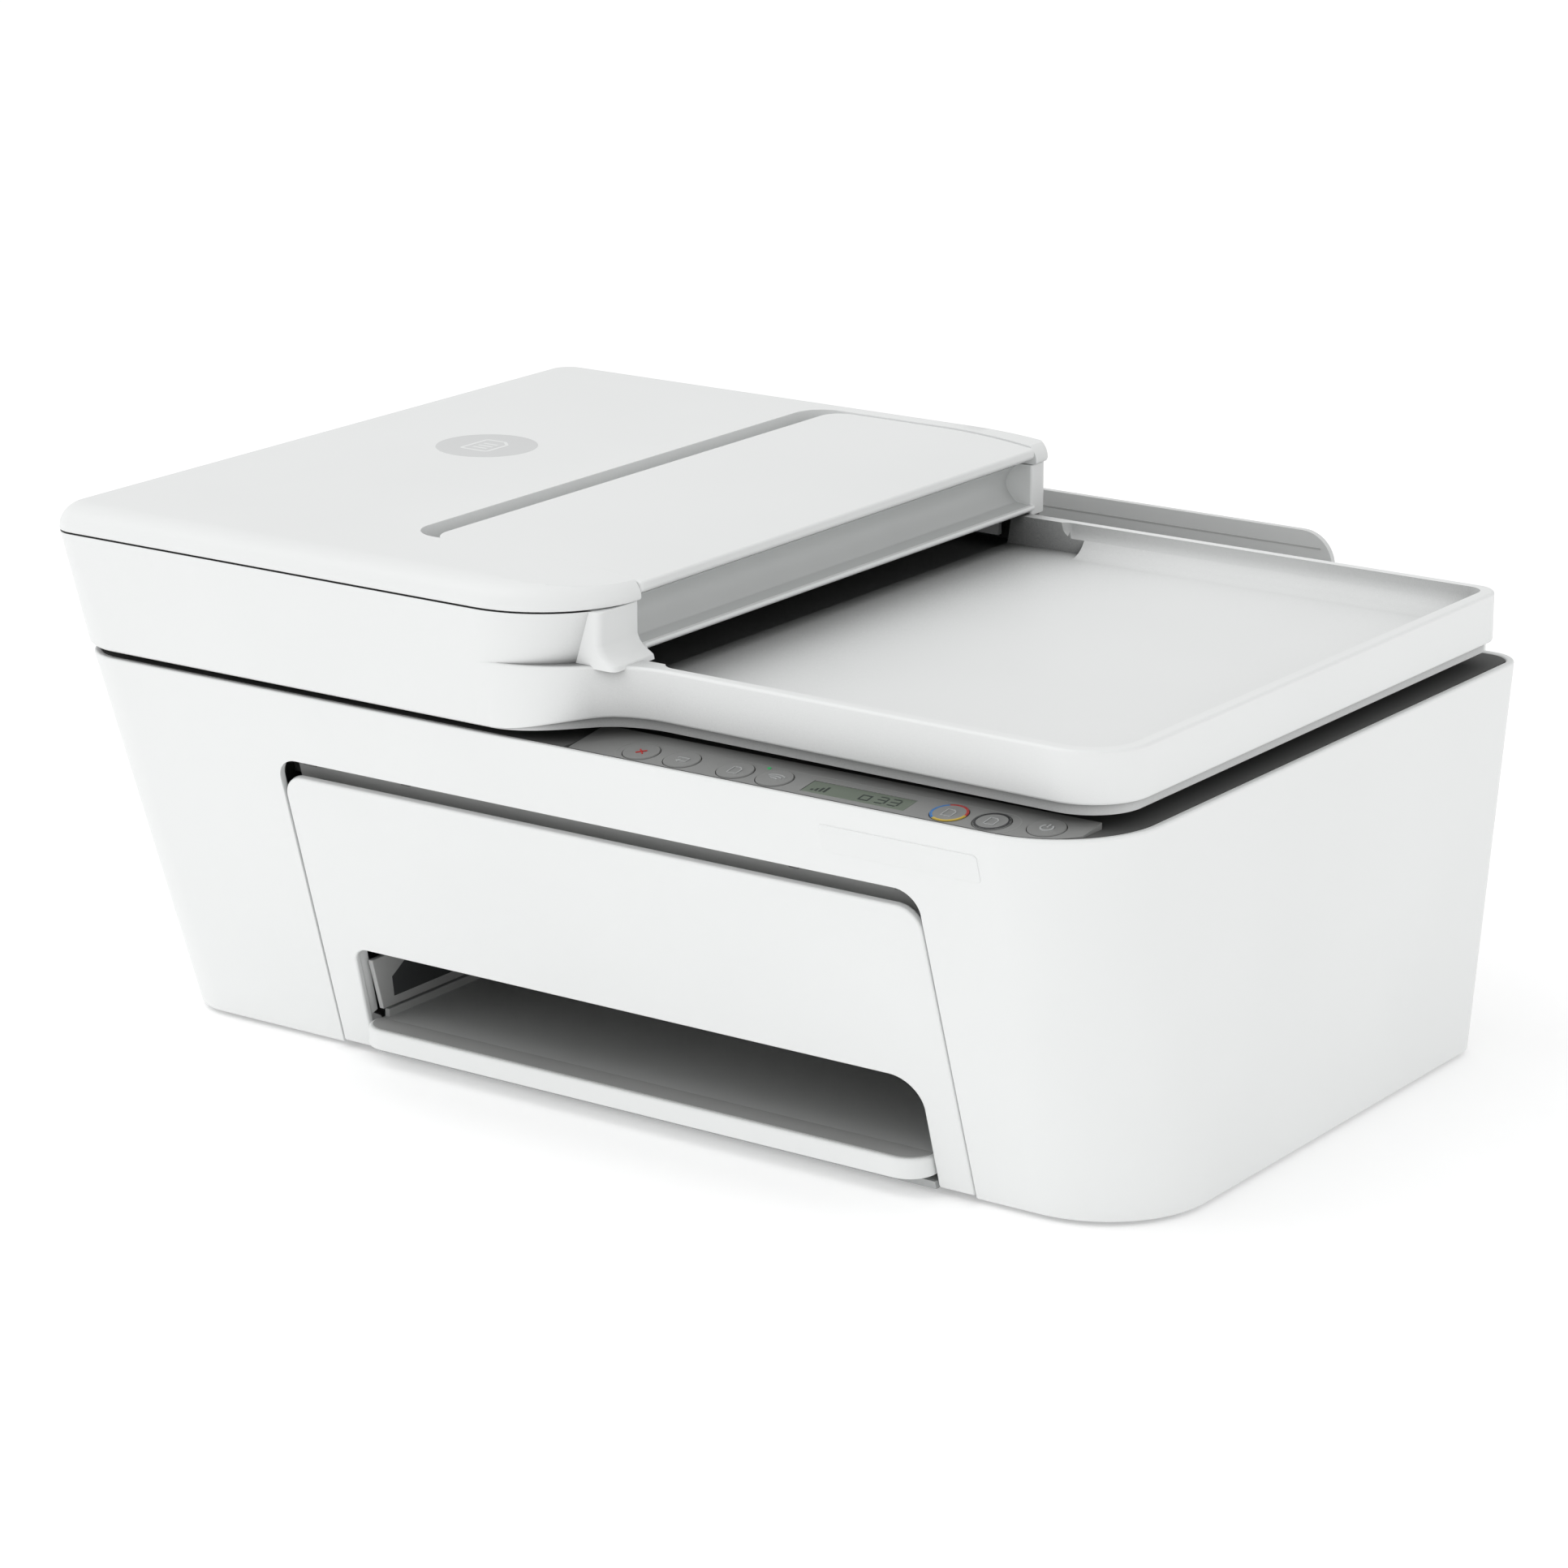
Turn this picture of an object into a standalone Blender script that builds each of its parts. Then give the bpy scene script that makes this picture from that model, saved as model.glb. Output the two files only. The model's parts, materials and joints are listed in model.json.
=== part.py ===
"""All-in-one inkjet printer: a tapered body with a print engine and a flatbed scanner, and a lid that
carries the document feeder. Units are metres, +Z is up, +X is to the right seen from the front (-Y)."""

import bpy
import bmesh
from math import acos, atan, cos, pi, radians, sin, tan
from mathutils import Matrix, Vector

# ---------------------------------------------------------------- driving dimensions
# Body: its walls lean, so the sizes at the base are the driving ones.
BODY_WIDTH = 0.4126
BODY_DEPTH = 0.2340
BODY_BACK_Y = 0.1167
RIM_Z = 0.1453
SIDE_LEAN = 0.0434
FRONT_LEAN = 0.309
BACK_LEAN = 0.085
FRONT_RIGHT_RADIUS = 0.040
FRONT_LEFT_RADIUS = 0.021
LEFT_REACH = 0.0050
BACK_RADIUS = 0.012
WALL = 0.003
FOOT_RADIUS = 0.008
FOOT_HEIGHT = 0.0012
FOOT_INSET = 0.030
PAN_THICKNESS = 0.003
PAN_SKIRT = 0.012

# Lid and document feeder.
LID_GAP = 0.0027
LID_PLATE = 0.004
TRAY_RIM_Z = 0.172
TRAY_RIM = 0.0045
TRAY_FLOOR_Z = 0.161
TRAY_SIDE_INSET = 0.0045
TRAY_FRONT_SETBACK = 0.0225
TRAY_BACK_Y = 0.118
FEEDER_RIGHT_X = 0.012
FEEDER_BACK_Y = 0.131
FEEDER_SEAM_Z = 0.1904
FEEDER_TOP_Z = 0.200
FEEDER_DROOP = 0.0030
FEEDER_CORNER_RADIUS = 0.040
FEEDER_FRONT_LEAN = 0.113
FEEDER_CORNER_TAPER = 0.26
FEEDER_STEP = 0.0001
FLAP_WIDTH = 0.0914
FLAP_FRONT_Y = -0.1275
FLAP_BACK_Y = 0.1185
FLAP_THICKNESS = 0.0052
FLAP_SLOT = 0.0096
MOUTH_FRONT_Y = -0.1275
MOUTH_BACK_Y = 0.1185
PILLAR_FRONT_Y = -0.148
PILLAR_DEPTH_X = 0.018

# Front access door and output tray, measured on the leaning front face.
DOOR_LEFT_X = -0.1313
DOOR_RIGHT_X = 0.1412
DOOR_TOP_LEFT_X = -0.1284
DOOR_TOP_RIGHT_X = 0.1396
DOOR_HEIGHT = 0.1165
DOOR_FOOT = 0.0025
DOOR_THICKNESS = 0.003
DOOR_CORNER = 0.009
DOOR_SEAM = 0.0006
FINGER_GAP = 0.007
SLOT_LEFT_X = -0.1163
SLOT_RIGHT_X = 0.1269
SLOT_HEIGHT = 0.0460
SLOT_LEFT_RADIUS = 0.006
SLOT_RIGHT_RADIUS = 0.012
DOOR_AXIS_UP = 0.0075
DOOR_AXIS_DEPTH = 0.0065
OUT_TRAY_Z = 0.0135
OUT_TRAY_THICKNESS = 0.0025
OUT_TRAY_LENGTH = 0.140
LIP_HEIGHT = 0.0075
LIP_PROUD = 0.008
LIP_CORNER = 0.0105

# Scanner under the lid.
DECK_THICKNESS = 0.0035
GLASS_WIDTH = 0.304
GLASS_DEPTH = 0.218
GLASS_THICKNESS = 0.0025
GLASS_CENTRE_X = 0.000
GLASS_CENTRE_Y = 0.000
PAD_THICKNESS = 0.0035
SCAN_BAR_WIDTH = 0.016
SCAN_BAR_HEIGHT = 0.010
SCAN_PARK_X = -0.178
SCAN_ROD_RADIUS = 0.003
SCAN_BED_Z = 0.1135

# Control panel.
PANEL_LEFT_X = 0.002
PANEL_SIDE_EDGE = 0.014
PANEL_DEPTH = 0.0225
PANEL_FRONT_Z = 0.1440
PANEL_TILT = radians(8.0)
PANEL_THICKNESS = 0.0016
PANEL_EDGE = 0.0043
BUTTON_RADIUS = 0.0064
BUTTON_HEIGHT = 0.0030
BUTTON_PROUD = 0.0004
BUTTON_CLEARANCE = 0.0004
LCD_WIDTH = 0.040
LCD_DEPTH = 0.0085
LCD_CENTRE_X = 0.115
PANEL_ROW = 0.0085
INLET_X = -0.150
INLET_Z = 0.050
INLET_WIDTH = 0.024
INLET_HEIGHT = 0.014
INLET_DEPTH = 0.016
USB_X = 0.150
USB_Z = 0.050
USB_WIDTH = 0.0125
USB_HEIGHT = 0.0115
USB_DEPTH = 0.016
BUTTON_X = {
    "cancel_button": 0.0276,
    "resume_button": 0.0443,
    "info_button": 0.0660,
    "wireless_button": 0.0818,
    "colour_copy_button": 0.1501,
    "black_copy_button": 0.1663,
    "power_button": 0.1850,
}
POWER_SETBACK = 0.003
BADGE_LEFT_X = 0.106
BADGE_WIDTH = 0.061
BADGE_HEIGHT = 0.0105
BADGE_PROUD = 0.0003
BADGE_UP = 0.1325

# Rear paper feed.
REAR_WIDTH = 0.244
REAR_BACK_Y = 0.1637
REAR_TOP_Z = 0.118
REAR_FOOT_Z = 0.012
REAR_WALL = 0.0025
REAR_TRAY_WIDTH = 0.234
REAR_TRAY_TOP_Z = 0.1706
REAR_TRAY_THICKNESS = 0.0025
REAR_TRAY_CORNER = 0.013
REAR_TRAY_AXIS_Z = 0.1165
EXTENDER_WIDTH = 0.150
EXTENDER_THICKNESS = 0.0016
EXTENDER_HEIGHT = 0.048
GUIDE_HEIGHT = 0.022
GUIDE_DEPTH = 0.009
GUIDE_THICKNESS = 0.0025
GUIDE_X = 0.108

# Print engine.
FRAME_HALF_WIDTH = 0.172
FRAME_PLATE = 0.0025
FRAME_FRONT_Y = -0.030
FRAME_BACK_Y = 0.082
FRAME_TOP_Z = 0.098
RAIL_Y = 0.046
RAIL_Z = 0.084
RAIL_SIZE = 0.010
CARRIAGE_WIDTH = 0.056
CARRIAGE_PARK_X = 0.139
CARTRIDGE_WIDTH = 0.021
CARTRIDGE_DEPTH = 0.042
CARTRIDGE_HEIGHT = 0.038
CARTRIDGE_Z = 0.043
LATCH_THICKNESS = 0.003
LATCH_HOOK = 0.010
FEED_ROLLER_RADIUS = 0.006
FEED_ROLLER_Y = 0.060
FEED_ROLLER_Z = 0.036
EJECT_ROLLER_RADIUS = 0.004
EJECT_ROLLER_Y = -0.018
PICK_ROLLER_RADIUS = 0.011
PICK_ROLLER_WIDTH = 0.030
PICK_ROLLER_Y = 0.100
PICK_ROLLER_Z = 0.062
GEAR_WIDTH = 0.004
PLATEN_Z = 0.026
PULLEY_RADIUS = 0.006
BELT_THICKNESS = 0.0012
BELT_WIDTH = 0.004

# Lid hinge.
LID_AXIS_Y = 0.140
LID_AXIS_Z = 0.156
HINGE_X = 0.170
HINGE_WIDTH = 0.024
HINGE_RADIUS = 0.005
PIN_RADIUS = 0.002
EAR_WIDTH = 0.006

# Clearances: between touching pieces, and round a pin or a sliding piece.
GAP = 0.0003
RUNNING = 0.0005
FLAP_END_GAP = 0.0012

# ---------------------------------------------------------------- derived places
LEAN_ANGLE = atan(FRONT_LEAN)
FRONT_Y = BODY_BACK_Y - BODY_DEPTH
PAN_Z = FOOT_HEIGHT + GAP
LID_Z = RIM_Z + LID_GAP
LID_FRONT_Y = FRONT_Y - FRONT_LEAN * RIM_Z - 0.0013
TRAY_FRONT_Y = LID_FRONT_Y + TRAY_FRONT_SETBACK
TRAY_RIGHT_X = BODY_WIDTH / 2 + SIDE_LEAN * RIM_Z - TRAY_SIDE_INSET
COVER_Z = FEEDER_SEAM_Z + 0.0012
FEEDER_LEFT_X = -(BODY_WIDTH / 2 + SIDE_LEAN * COVER_Z) - LEFT_REACH
FEEDER_FRONT_Y = LID_FRONT_Y - FEEDER_FRONT_LEAN * (COVER_Z - LID_Z)
RECESS_Z = LID_Z + 0.0065
FLAP_AXIS_X = FEEDER_RIGHT_X - 0.0035
FLAP_AXIS_Z = FEEDER_TOP_Z - 0.0050
TRAY_LEFT_X = SLOT_LEFT_X + RUNNING
TRAY_RIGHT_END_X = SLOT_RIGHT_X - RUNNING - GAP
PANEL_RIGHT_X = BODY_WIDTH / 2 + SIDE_LEAN * RIM_Z - PANEL_SIDE_EDGE
PANEL_FRONT_Y = FRONT_Y - FRONT_LEAN * RIM_Z + PANEL_EDGE
FLAP_LEFT_X = FEEDER_RIGHT_X - FLAP_WIDTH
SHELF_Z = TRAY_RIM_Z + GAP
FEEDER_FLOOR_LEFT_X = -0.098
FEEDER_PLATE_LEFT_X = -0.165
FEEDER_SHAFTS = ((-0.112, 0.1800, 0.003), (-0.148, 0.1740, 0.003))
FEEDER_COVER_AXIS_X = FEEDER_LEFT_X + 0.0016
FEEDER_COVER_AXIS_Z = FEEDER_SEAM_Z + 0.0022
DOCUMENT_GUIDE_Y = 0.090
REAR_TRAY_FRONT_Y = REAR_BACK_Y - 0.0052
REAR_TRAY_AXIS_Y = REAR_TRAY_FRONT_Y + REAR_TRAY_THICKNESS / 2
SCAN_ROD_Z = SCAN_BED_Z + 0.010
EJECT_ROLLER_Z = PLATEN_Z + 0.004
NOZZLE_Z = PLATEN_Z + 0.003
CARTRIDGE_PITCH = CARTRIDGE_WIDTH + 0.004
CARTRIDGE_BACK_Y = 0.018
FEED_GEAR_RADIUS = 0.015
PINION_RADIUS = 0.0045
PULLEY_X = FRAME_HALF_WIDTH - 0.014
FEED_MOTOR_AXIS = (
    FEED_ROLLER_Y + (FEED_GEAR_RADIUS + PINION_RADIUS + GAP) * 0.5,
    FEED_ROLLER_Z + (FEED_GEAR_RADIUS + PINION_RADIUS + GAP) * 0.866,
)
ASSEMBLY_X = -(FEEDER_LEFT_X + BODY_WIDTH / 2 + SIDE_LEAN * RIM_Z) / 2
ASSEMBLY_Y = -(FEEDER_FRONT_Y + REAR_BACK_Y) / 2


def side_x(z):
    """Half width of the body at a height."""
    return BODY_WIDTH / 2 + SIDE_LEAN * z


def left_x(z):
    """Left wall of the body at a height; it stands farther out than the right wall."""
    return -side_x(z) - LEFT_REACH


def feeder_corner(z):
    """Radius of the feeder's front left corner, which tightens towards the top."""
    return FRONT_LEFT_RADIUS - FEEDER_CORNER_TAPER * (z - LID_Z)


def front_y(z):
    """Front face of the body at a height."""
    return FRONT_Y - FRONT_LEAN * z


def back_y(z):
    """Back face of the body at a height."""
    return BODY_BACK_Y + BACK_LEAN * z


# Frame of the leaning front face: X right, Y up the face, Z out of it.
FRONT_FACE = Matrix.Translation((0, FRONT_Y, 0)) @ Matrix.Rotation(pi / 2 + LEAN_ANGLE, 4, "X")
# Frame of the tilted control panel, at its row of buttons: X right, Y to the back, Z out of it.
PANEL_FACE = Matrix.Translation(
    (0, PANEL_FRONT_Y + PANEL_ROW, PANEL_FRONT_Z + PANEL_ROW * tan(PANEL_TILT))
) @ Matrix.Rotation(PANEL_TILT, 4, "X")
DOOR_AXIS = FRONT_FACE @ Vector((0, DOOR_AXIS_UP, -DOOR_AXIS_DEPTH))


# ---------------------------------------------------------------- scene and materials
for old in list(bpy.data.objects):
    bpy.data.objects.remove(old, do_unlink=True)


def plastic(name, colour, roughness=0.45, metallic=0.0):
    """A Principled material with one colour."""
    material = bpy.data.materials.new(name)
    material.use_nodes = True
    shader = material.node_tree.nodes["Principled BSDF"]
    shader.inputs["Base Color"].default_value = (*colour, 1.0)
    shader.inputs["Roughness"].default_value = roughness
    shader.inputs["Metallic"].default_value = metallic
    material.diffuse_color = (*colour, 1.0)
    return material


WHITE = plastic("white_plastic", (0.86, 0.87, 0.87), 0.38)
GREY = plastic("grey_plastic", (0.17, 0.18, 0.18), 0.45)
LIGHT_GREY = plastic("light_grey_plastic", (0.40, 0.42, 0.42), 0.45)
DARK = plastic("dark_plastic", (0.06, 0.065, 0.07), 0.5)
RUBBER = plastic("black_rubber", (0.02, 0.02, 0.02), 0.85)
STEEL = plastic("bright_steel", (0.62, 0.63, 0.65), 0.3, 1.0)
GLASS = plastic("clear_glass", (0.55, 0.62, 0.60), 0.05)
LCD = plastic("lcd_window", (0.20, 0.24, 0.20), 0.12)
FOAM = plastic("white_foam", (0.90, 0.90, 0.88), 0.8)
BOARD = plastic("circuit_board", (0.02, 0.16, 0.06), 0.5)
BLACK = plastic("black_plastic", (0.015, 0.015, 0.017), 0.4)
CYAN = plastic("colour_cartridge", (0.05, 0.32, 0.45), 0.4)

ASSEMBLY = bpy.data.objects.new("printer", None)
ASSEMBLY.location = (ASSEMBLY_X, ASSEMBLY_Y, 0)
bpy.context.scene.collection.objects.link(ASSEMBLY)
FRAMES = {ASSEMBLY.name: Matrix.Identity(4)}


def add(name, shape, material=None, parent=ASSEMBLY, at=(0, 0, 0), frame=None):
    """Links a shape as an object. Its points are in the body's frame, and its origin is put at a joint
    or a corner; with a frame, its points are in that frame."""
    place = frame if frame is not None else Matrix.Translation(at)
    if frame is None:
        bmesh.ops.transform(shape, matrix=place.inverted(), verts=shape.verts)
    mesh = bpy.data.meshes.new(name)
    shape.to_mesh(mesh)
    shape.free()
    mesh.shade_smooth()
    mesh.set_sharp_from_angle(angle=radians(35))
    piece = bpy.data.objects.new(name, mesh)
    if material is not None:
        mesh.materials.append(material)
    piece.parent = parent
    piece.matrix_basis = FRAMES[parent.name].inverted() @ place
    FRAMES[piece.name] = place
    bpy.context.scene.collection.objects.link(piece)
    return piece


def combine(piece, operation, *shapes, frame=None):
    """Adds one Boolean for each shape, which stays in the file as a hidden helper."""
    for shape in shapes:
        label = f"{piece.name}_{operation.lower()}_{len(piece.modifiers)}"
        helper = add(label, shape, parent=piece, frame=frame)
        helper.hide_render = True
        helper.display_type = "WIRE"
        modifier = piece.modifiers.new(label, "BOOLEAN")
        modifier.operation = operation
        modifier.solver = "EXACT"
        modifier.object = helper


def cut(piece, *shapes, frame=None):
    combine(piece, "DIFFERENCE", *shapes, frame=frame)


def fuse(piece, *shapes, frame=None):
    combine(piece, "UNION", *shapes, frame=frame)


# ---------------------------------------------------------------- shapes
def filleted(corners, steps=6):
    """Outline through corners (x, y, radius), with an arc of that radius in place of each corner."""
    outline = []
    count = len(corners)
    for i, (x, y, radius) in enumerate(corners):
        here = Vector((x, y))
        if radius <= 0:
            outline.append(here)
            continue
        before = (Vector(corners[i - 1][:2]) - here).normalized()
        after = (Vector(corners[(i + 1) % count][:2]) - here).normalized()
        half = before.angle(after) / 2
        centre = here + (before + after).normalized() * (radius / sin(half))
        start = here + before * (radius / tan(half)) - centre
        turn = start.angle_signed(here + after * (radius / tan(half)) - centre)
        for step in range(steps + 1):
            angle = -turn * step / steps
            spoke = Vector((start.x * cos(angle) - start.y * sin(angle),
                            start.x * sin(angle) + start.y * cos(angle)))
            outline.append(centre + spoke)
    return outline


def loft(rings):
    """Closed solid through outlines that each have a height and the same number of points."""
    shape = bmesh.new()
    loops = [[shape.verts.new((p.x, p.y, z)) for p in outline] for outline, z in rings]
    for low, high in zip(loops, loops[1:]):
        for i in range(len(low)):
            j = (i + 1) % len(low)
            shape.faces.new((low[i], low[j], high[j], high[i]))
    shape.faces.new(list(reversed(loops[0])))
    shape.faces.new(loops[-1])
    bmesh.ops.recalc_face_normals(shape, faces=shape.faces)
    return shape


def prism(outline, low, high):
    """Outline in XY extruded along Z."""
    return loft([([Vector(p) for p in outline], low), ([Vector(p) for p in outline], high)])


def along_x(outline, low, high):
    """Outline of (y, z) points extruded along X."""
    shape = prism(outline, low, high)
    bmesh.ops.transform(shape, matrix=Matrix(((0, 0, 1, 0), (1, 0, 0, 0), (0, 1, 0, 0), (0, 0, 0, 1))),
                        verts=shape.verts)
    return shape


def along_y(outline, low, high):
    """Outline of (z, x) points extruded along Y."""
    shape = prism(outline, low, high)
    bmesh.ops.transform(shape, matrix=Matrix(((0, 1, 0, 0), (0, 0, 1, 0), (1, 0, 0, 0), (0, 0, 0, 1))),
                        verts=shape.verts)
    return shape


def box(x, y, z):
    """Box from (low, high) pairs."""
    return prism([(x[0], y[0]), (x[1], y[0]), (x[1], y[1]), (x[0], y[1])], z[0], z[1])


def disc(centre, radius, sides=24):
    """Circle of points round a centre."""
    return [
        (centre[0] + radius * cos(2 * pi * i / sides), centre[1] + radius * sin(2 * pi * i / sides))
        for i in range(sides)
    ]


def arc(centre, radius, start, end, steps=6):
    """Points along an arc, from one angle to another."""
    return [
        (centre[0] + radius * cos(start + (end - start) * i / steps),
         centre[1] + radius * sin(start + (end - start) * i / steps))
        for i in range(steps + 1)
    ]


def turned(centre, stations, sides=16):
    """Round bar along X from (x, radius) stations, about a centre (y, z)."""
    shape = loft([([Vector(p) for p in disc(centre, radius, sides)], x) for x, radius in stations])
    bmesh.ops.transform(shape, matrix=Matrix(((0, 0, 1, 0), (1, 0, 0, 0), (0, 1, 0, 0), (0, 0, 0, 1))),
                        verts=shape.verts)
    return shape


def gear(centre, radius, teeth, depth=0.0008):
    """Outline of a small spur gear, with a trapezoid for each tooth."""
    outline = []
    for tooth in range(teeth):
        for offset, r in ((0.0, radius - depth), (0.25, radius - depth), (0.4, radius), (0.75, radius)):
            angle = 2 * pi * (tooth + offset) / teeth
            outline.append((centre[0] + r * cos(angle), centre[1] + r * sin(angle)))
    return outline


def rounding(radius, inset):
    """Corner radius after an outline is moved inwards."""
    return max(radius - inset, 0.0004)


def body_outline(z, inset=0.0):
    """Plan of the body at a height, moved inwards."""
    left = left_x(z) + inset
    x = side_x(z) - inset
    front = front_y(z) + inset
    back = back_y(z) - inset
    return filleted([
        (left, front, rounding(FRONT_LEFT_RADIUS, inset)),
        (x, front, rounding(FRONT_RIGHT_RADIUS, inset)),
        (x, back, rounding(BACK_RADIUS, inset)),
        (left, back, rounding(BACK_RADIUS, inset)),
    ])


def lid_outline(z, inset=0.0):
    """Plan of the lid: the feeder on the left, and the tray set back from it by an S-shaped front."""
    left = left_x(z) + inset
    front = LID_FRONT_Y - FEEDER_FRONT_LEAN * (z - LID_Z) + inset
    tray_front = TRAY_FRONT_Y + inset
    right = TRAY_RIGHT_X - inset
    return filleted([
        (left, front, rounding(feeder_corner(z), inset)),
        (FEEDER_RIGHT_X - 0.0205 - inset * 0.4, front, rounding(0.048, inset)),
        (FEEDER_RIGHT_X + 0.006 - inset * 0.4, tray_front, 0.036 + inset),
        (right, tray_front - 0.004, rounding(0.022, inset)),
        (right, TRAY_BACK_Y - inset, rounding(0.009, inset)),
        (FEEDER_RIGHT_X - 0.003 - inset, TRAY_BACK_Y - inset, 0.002 + inset),
        (FEEDER_RIGHT_X - 0.003 - inset, FEEDER_BACK_Y - inset, rounding(0.0055, inset)),
        (left, FEEDER_BACK_Y - inset, rounding(BACK_RADIUS, inset)),
    ])


def feeder_outline(z, inset=0.0):
    """Plan of the feeder block above the tray's rim."""
    lean = FEEDER_FRONT_LEAN * (z - LID_Z)
    right = FEEDER_RIGHT_X - 0.0030 + 0.16 * (z - TRAY_RIM_Z) - inset
    return filleted([
        (left_x(z) + inset, LID_FRONT_Y - lean + inset, rounding(feeder_corner(z), inset)),
        (right, LID_FRONT_Y - lean + inset, rounding(FEEDER_CORNER_RADIUS, inset)),
        (right, FEEDER_BACK_Y - inset, rounding(0.0055, inset)),
        (left_x(z) + inset, FEEDER_BACK_Y - inset, rounding(BACK_RADIUS, inset)),
    ])


# ---------------------------------------------------------------- body
def outer_shell():
    """White wall round the body, open at the top and the bottom, with the door opening in its front."""
    shell = add("outer_shell", loft([(body_outline(PAN_Z), PAN_Z), (body_outline(RIM_Z), RIM_Z)]), WHITE)
    low, high = PAN_Z - 0.01, RIM_Z + 0.01
    cut(shell, loft([(body_outline(low, WALL), low), (body_outline(high, WALL), high)]))
    top = DOOR_HEIGHT + FINGER_GAP
    opening = filleted([
        (DOOR_LEFT_X - DOOR_SEAM - 0.0003, -0.03, 0),
        (DOOR_RIGHT_X + DOOR_SEAM + 0.0002, -0.03, 0),
        (DOOR_TOP_RIGHT_X + DOOR_SEAM, top, DOOR_CORNER),
        (DOOR_TOP_LEFT_X - DOOR_SEAM, top, DOOR_CORNER),
    ])
    cut(shell, prism(opening, -0.012, 0.01), frame=FRONT_FACE)
    badge = filleted([
        (BADGE_LEFT_X, BADGE_UP, 0.0015),
        (BADGE_LEFT_X + BADGE_WIDTH, BADGE_UP, 0.0015),
        (BADGE_LEFT_X + BADGE_WIDTH, BADGE_UP + BADGE_HEIGHT, 0.0015),
        (BADGE_LEFT_X, BADGE_UP + BADGE_HEIGHT, 0.0015),
    ], 3)
    fuse(shell, prism(badge, -WALL / 2, BADGE_PROUD), frame=FRONT_FACE)
    half = REAR_WIDTH / 2 - REAR_WALL - 0.003
    cut(shell, box((-half, half), (BODY_BACK_Y - 0.03, REAR_BACK_Y), (0.040, REAR_TOP_Z - 0.006)))
    cut(shell, box((INLET_X - INLET_WIDTH / 2 - GAP, INLET_X + INLET_WIDTH / 2 + GAP),
                   (BODY_BACK_Y - 0.02, REAR_BACK_Y),
                   (INLET_Z - INLET_HEIGHT / 2 - GAP, INLET_Z + INLET_HEIGHT / 2 + GAP)))
    cut(shell, box((USB_X - USB_WIDTH / 2 - GAP, USB_X + USB_WIDTH / 2 + GAP),
                   (BODY_BACK_Y - 0.02, REAR_BACK_Y),
                   (USB_Z - USB_HEIGHT / 2 - GAP, USB_Z + USB_HEIGHT / 2 + GAP)))
    for side in (-1, 1):
        fuse(shell, *hinge_ears(side * HINGE_X))
        half = HINGE_WIDTH / 2 + EAR_WIDTH + 0.002
        cut(shell, along_x(disc((LID_AXIS_Y, LID_AXIS_Z), PIN_RADIUS + RUNNING, 16),
                           side * HINGE_X - half, side * HINGE_X + half))


def hinge_ears(x):
    """Bracket on the back wall with an ear each side of the lid's arm."""
    shapes = []
    for side in (-1, 1):
        inner = x + side * (HINGE_WIDTH / 2 + RUNNING)
        outer = inner + side * EAR_WIDTH
        shapes.append(along_x([
            (back_y(0.115) - 0.0015, 0.115),
            (LID_AXIS_Y + HINGE_RADIUS, 0.135),
            *arc((LID_AXIS_Y, LID_AXIS_Z), HINGE_RADIUS, 0, pi),
            (LID_AXIS_Y - HINGE_RADIUS, 0.146),
            (back_y(0.140) - 0.0015, 0.140),
        ], min(inner, outer), max(inner, outer)))
    shapes.append(box((x - HINGE_WIDTH / 2 - EAR_WIDTH + 0.001, x + HINGE_WIDTH / 2 + EAR_WIDTH - 0.001),
                      (back_y(0.118) - 0.0012, LID_AXIS_Y - 0.002), (0.118, 0.134)))
    return shapes


def base_pan():
    """Floor of the body, with a low skirt inside the shell and a beam under the output tray."""
    inset = WALL + GAP
    top = PAN_Z + PAN_SKIRT
    pan = add("base_pan", loft([(body_outline(PAN_Z, inset), PAN_Z), (body_outline(top, inset), top)]),
              GREY)
    low, high = PAN_Z + PAN_THICKNESS, top + 0.01
    cut(pan, loft([(body_outline(low, inset + 0.002), low), (body_outline(high, inset + 0.002), high)]))
    notch_back = FRONT_Y + 0.016
    cut(pan, box((DOOR_LEFT_X - 0.001, DOOR_RIGHT_X + 0.001), (FRONT_Y - 0.03, notch_back),
                 (-0.01, 0.03)))
    fuse(pan, along_x([
        (notch_back + 0.002, PAN_Z),
        (notch_back + 0.002, PAN_Z + PAN_THICKNESS),
        (front_y(PAN_Z + PAN_THICKNESS), PAN_Z + PAN_THICKNESS),
        (front_y(PAN_Z), PAN_Z),
    ], SLOT_LEFT_X + 0.0012, SLOT_RIGHT_X - 0.0012))
    for x in (TRAY_LEFT_X - RUNNING - 0.003, TRAY_RIGHT_END_X + RUNNING):
        fuse(pan, box((x, x + 0.003), (FRONT_Y + 0.018, 0.055), (PAN_Z + 0.001, OUT_TRAY_Z + 0.004)))
    for x in (DOOR_LEFT_X - 0.0075, DOOR_RIGHT_X + 0.0025):
        bracket = [(-0.003, -0.0185), (0.002, -DOOR_THICKNESS - 0.0005),
                   (0.012, -DOOR_THICKNESS - 0.0005), (0.012, -0.0185)]
        fuse(pan, along_x(bracket, x, x + 0.005), frame=FRONT_FACE)
        cut(pan, along_x(disc(DOOR_AXIS[1:], PIN_RADIUS + RUNNING, 16), x - 0.003, x + 0.008))


def feet():
    """Rubber feet under the corners of the pan."""
    xs = (-BODY_WIDTH / 2 + FOOT_INSET, BODY_WIDTH / 2 - FOOT_INSET)
    ys = (FRONT_Y + FOOT_INSET + 0.004, BODY_BACK_Y - FOOT_INSET)
    names = ("foot_front_left", "foot_front_right", "foot_back_left", "foot_back_right")
    for i, name in enumerate(names):
        add(name, prism(disc((xs[i % 2], ys[i // 2]), FOOT_RADIUS, 16), 0, FOOT_HEIGHT), RUBBER)


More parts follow.
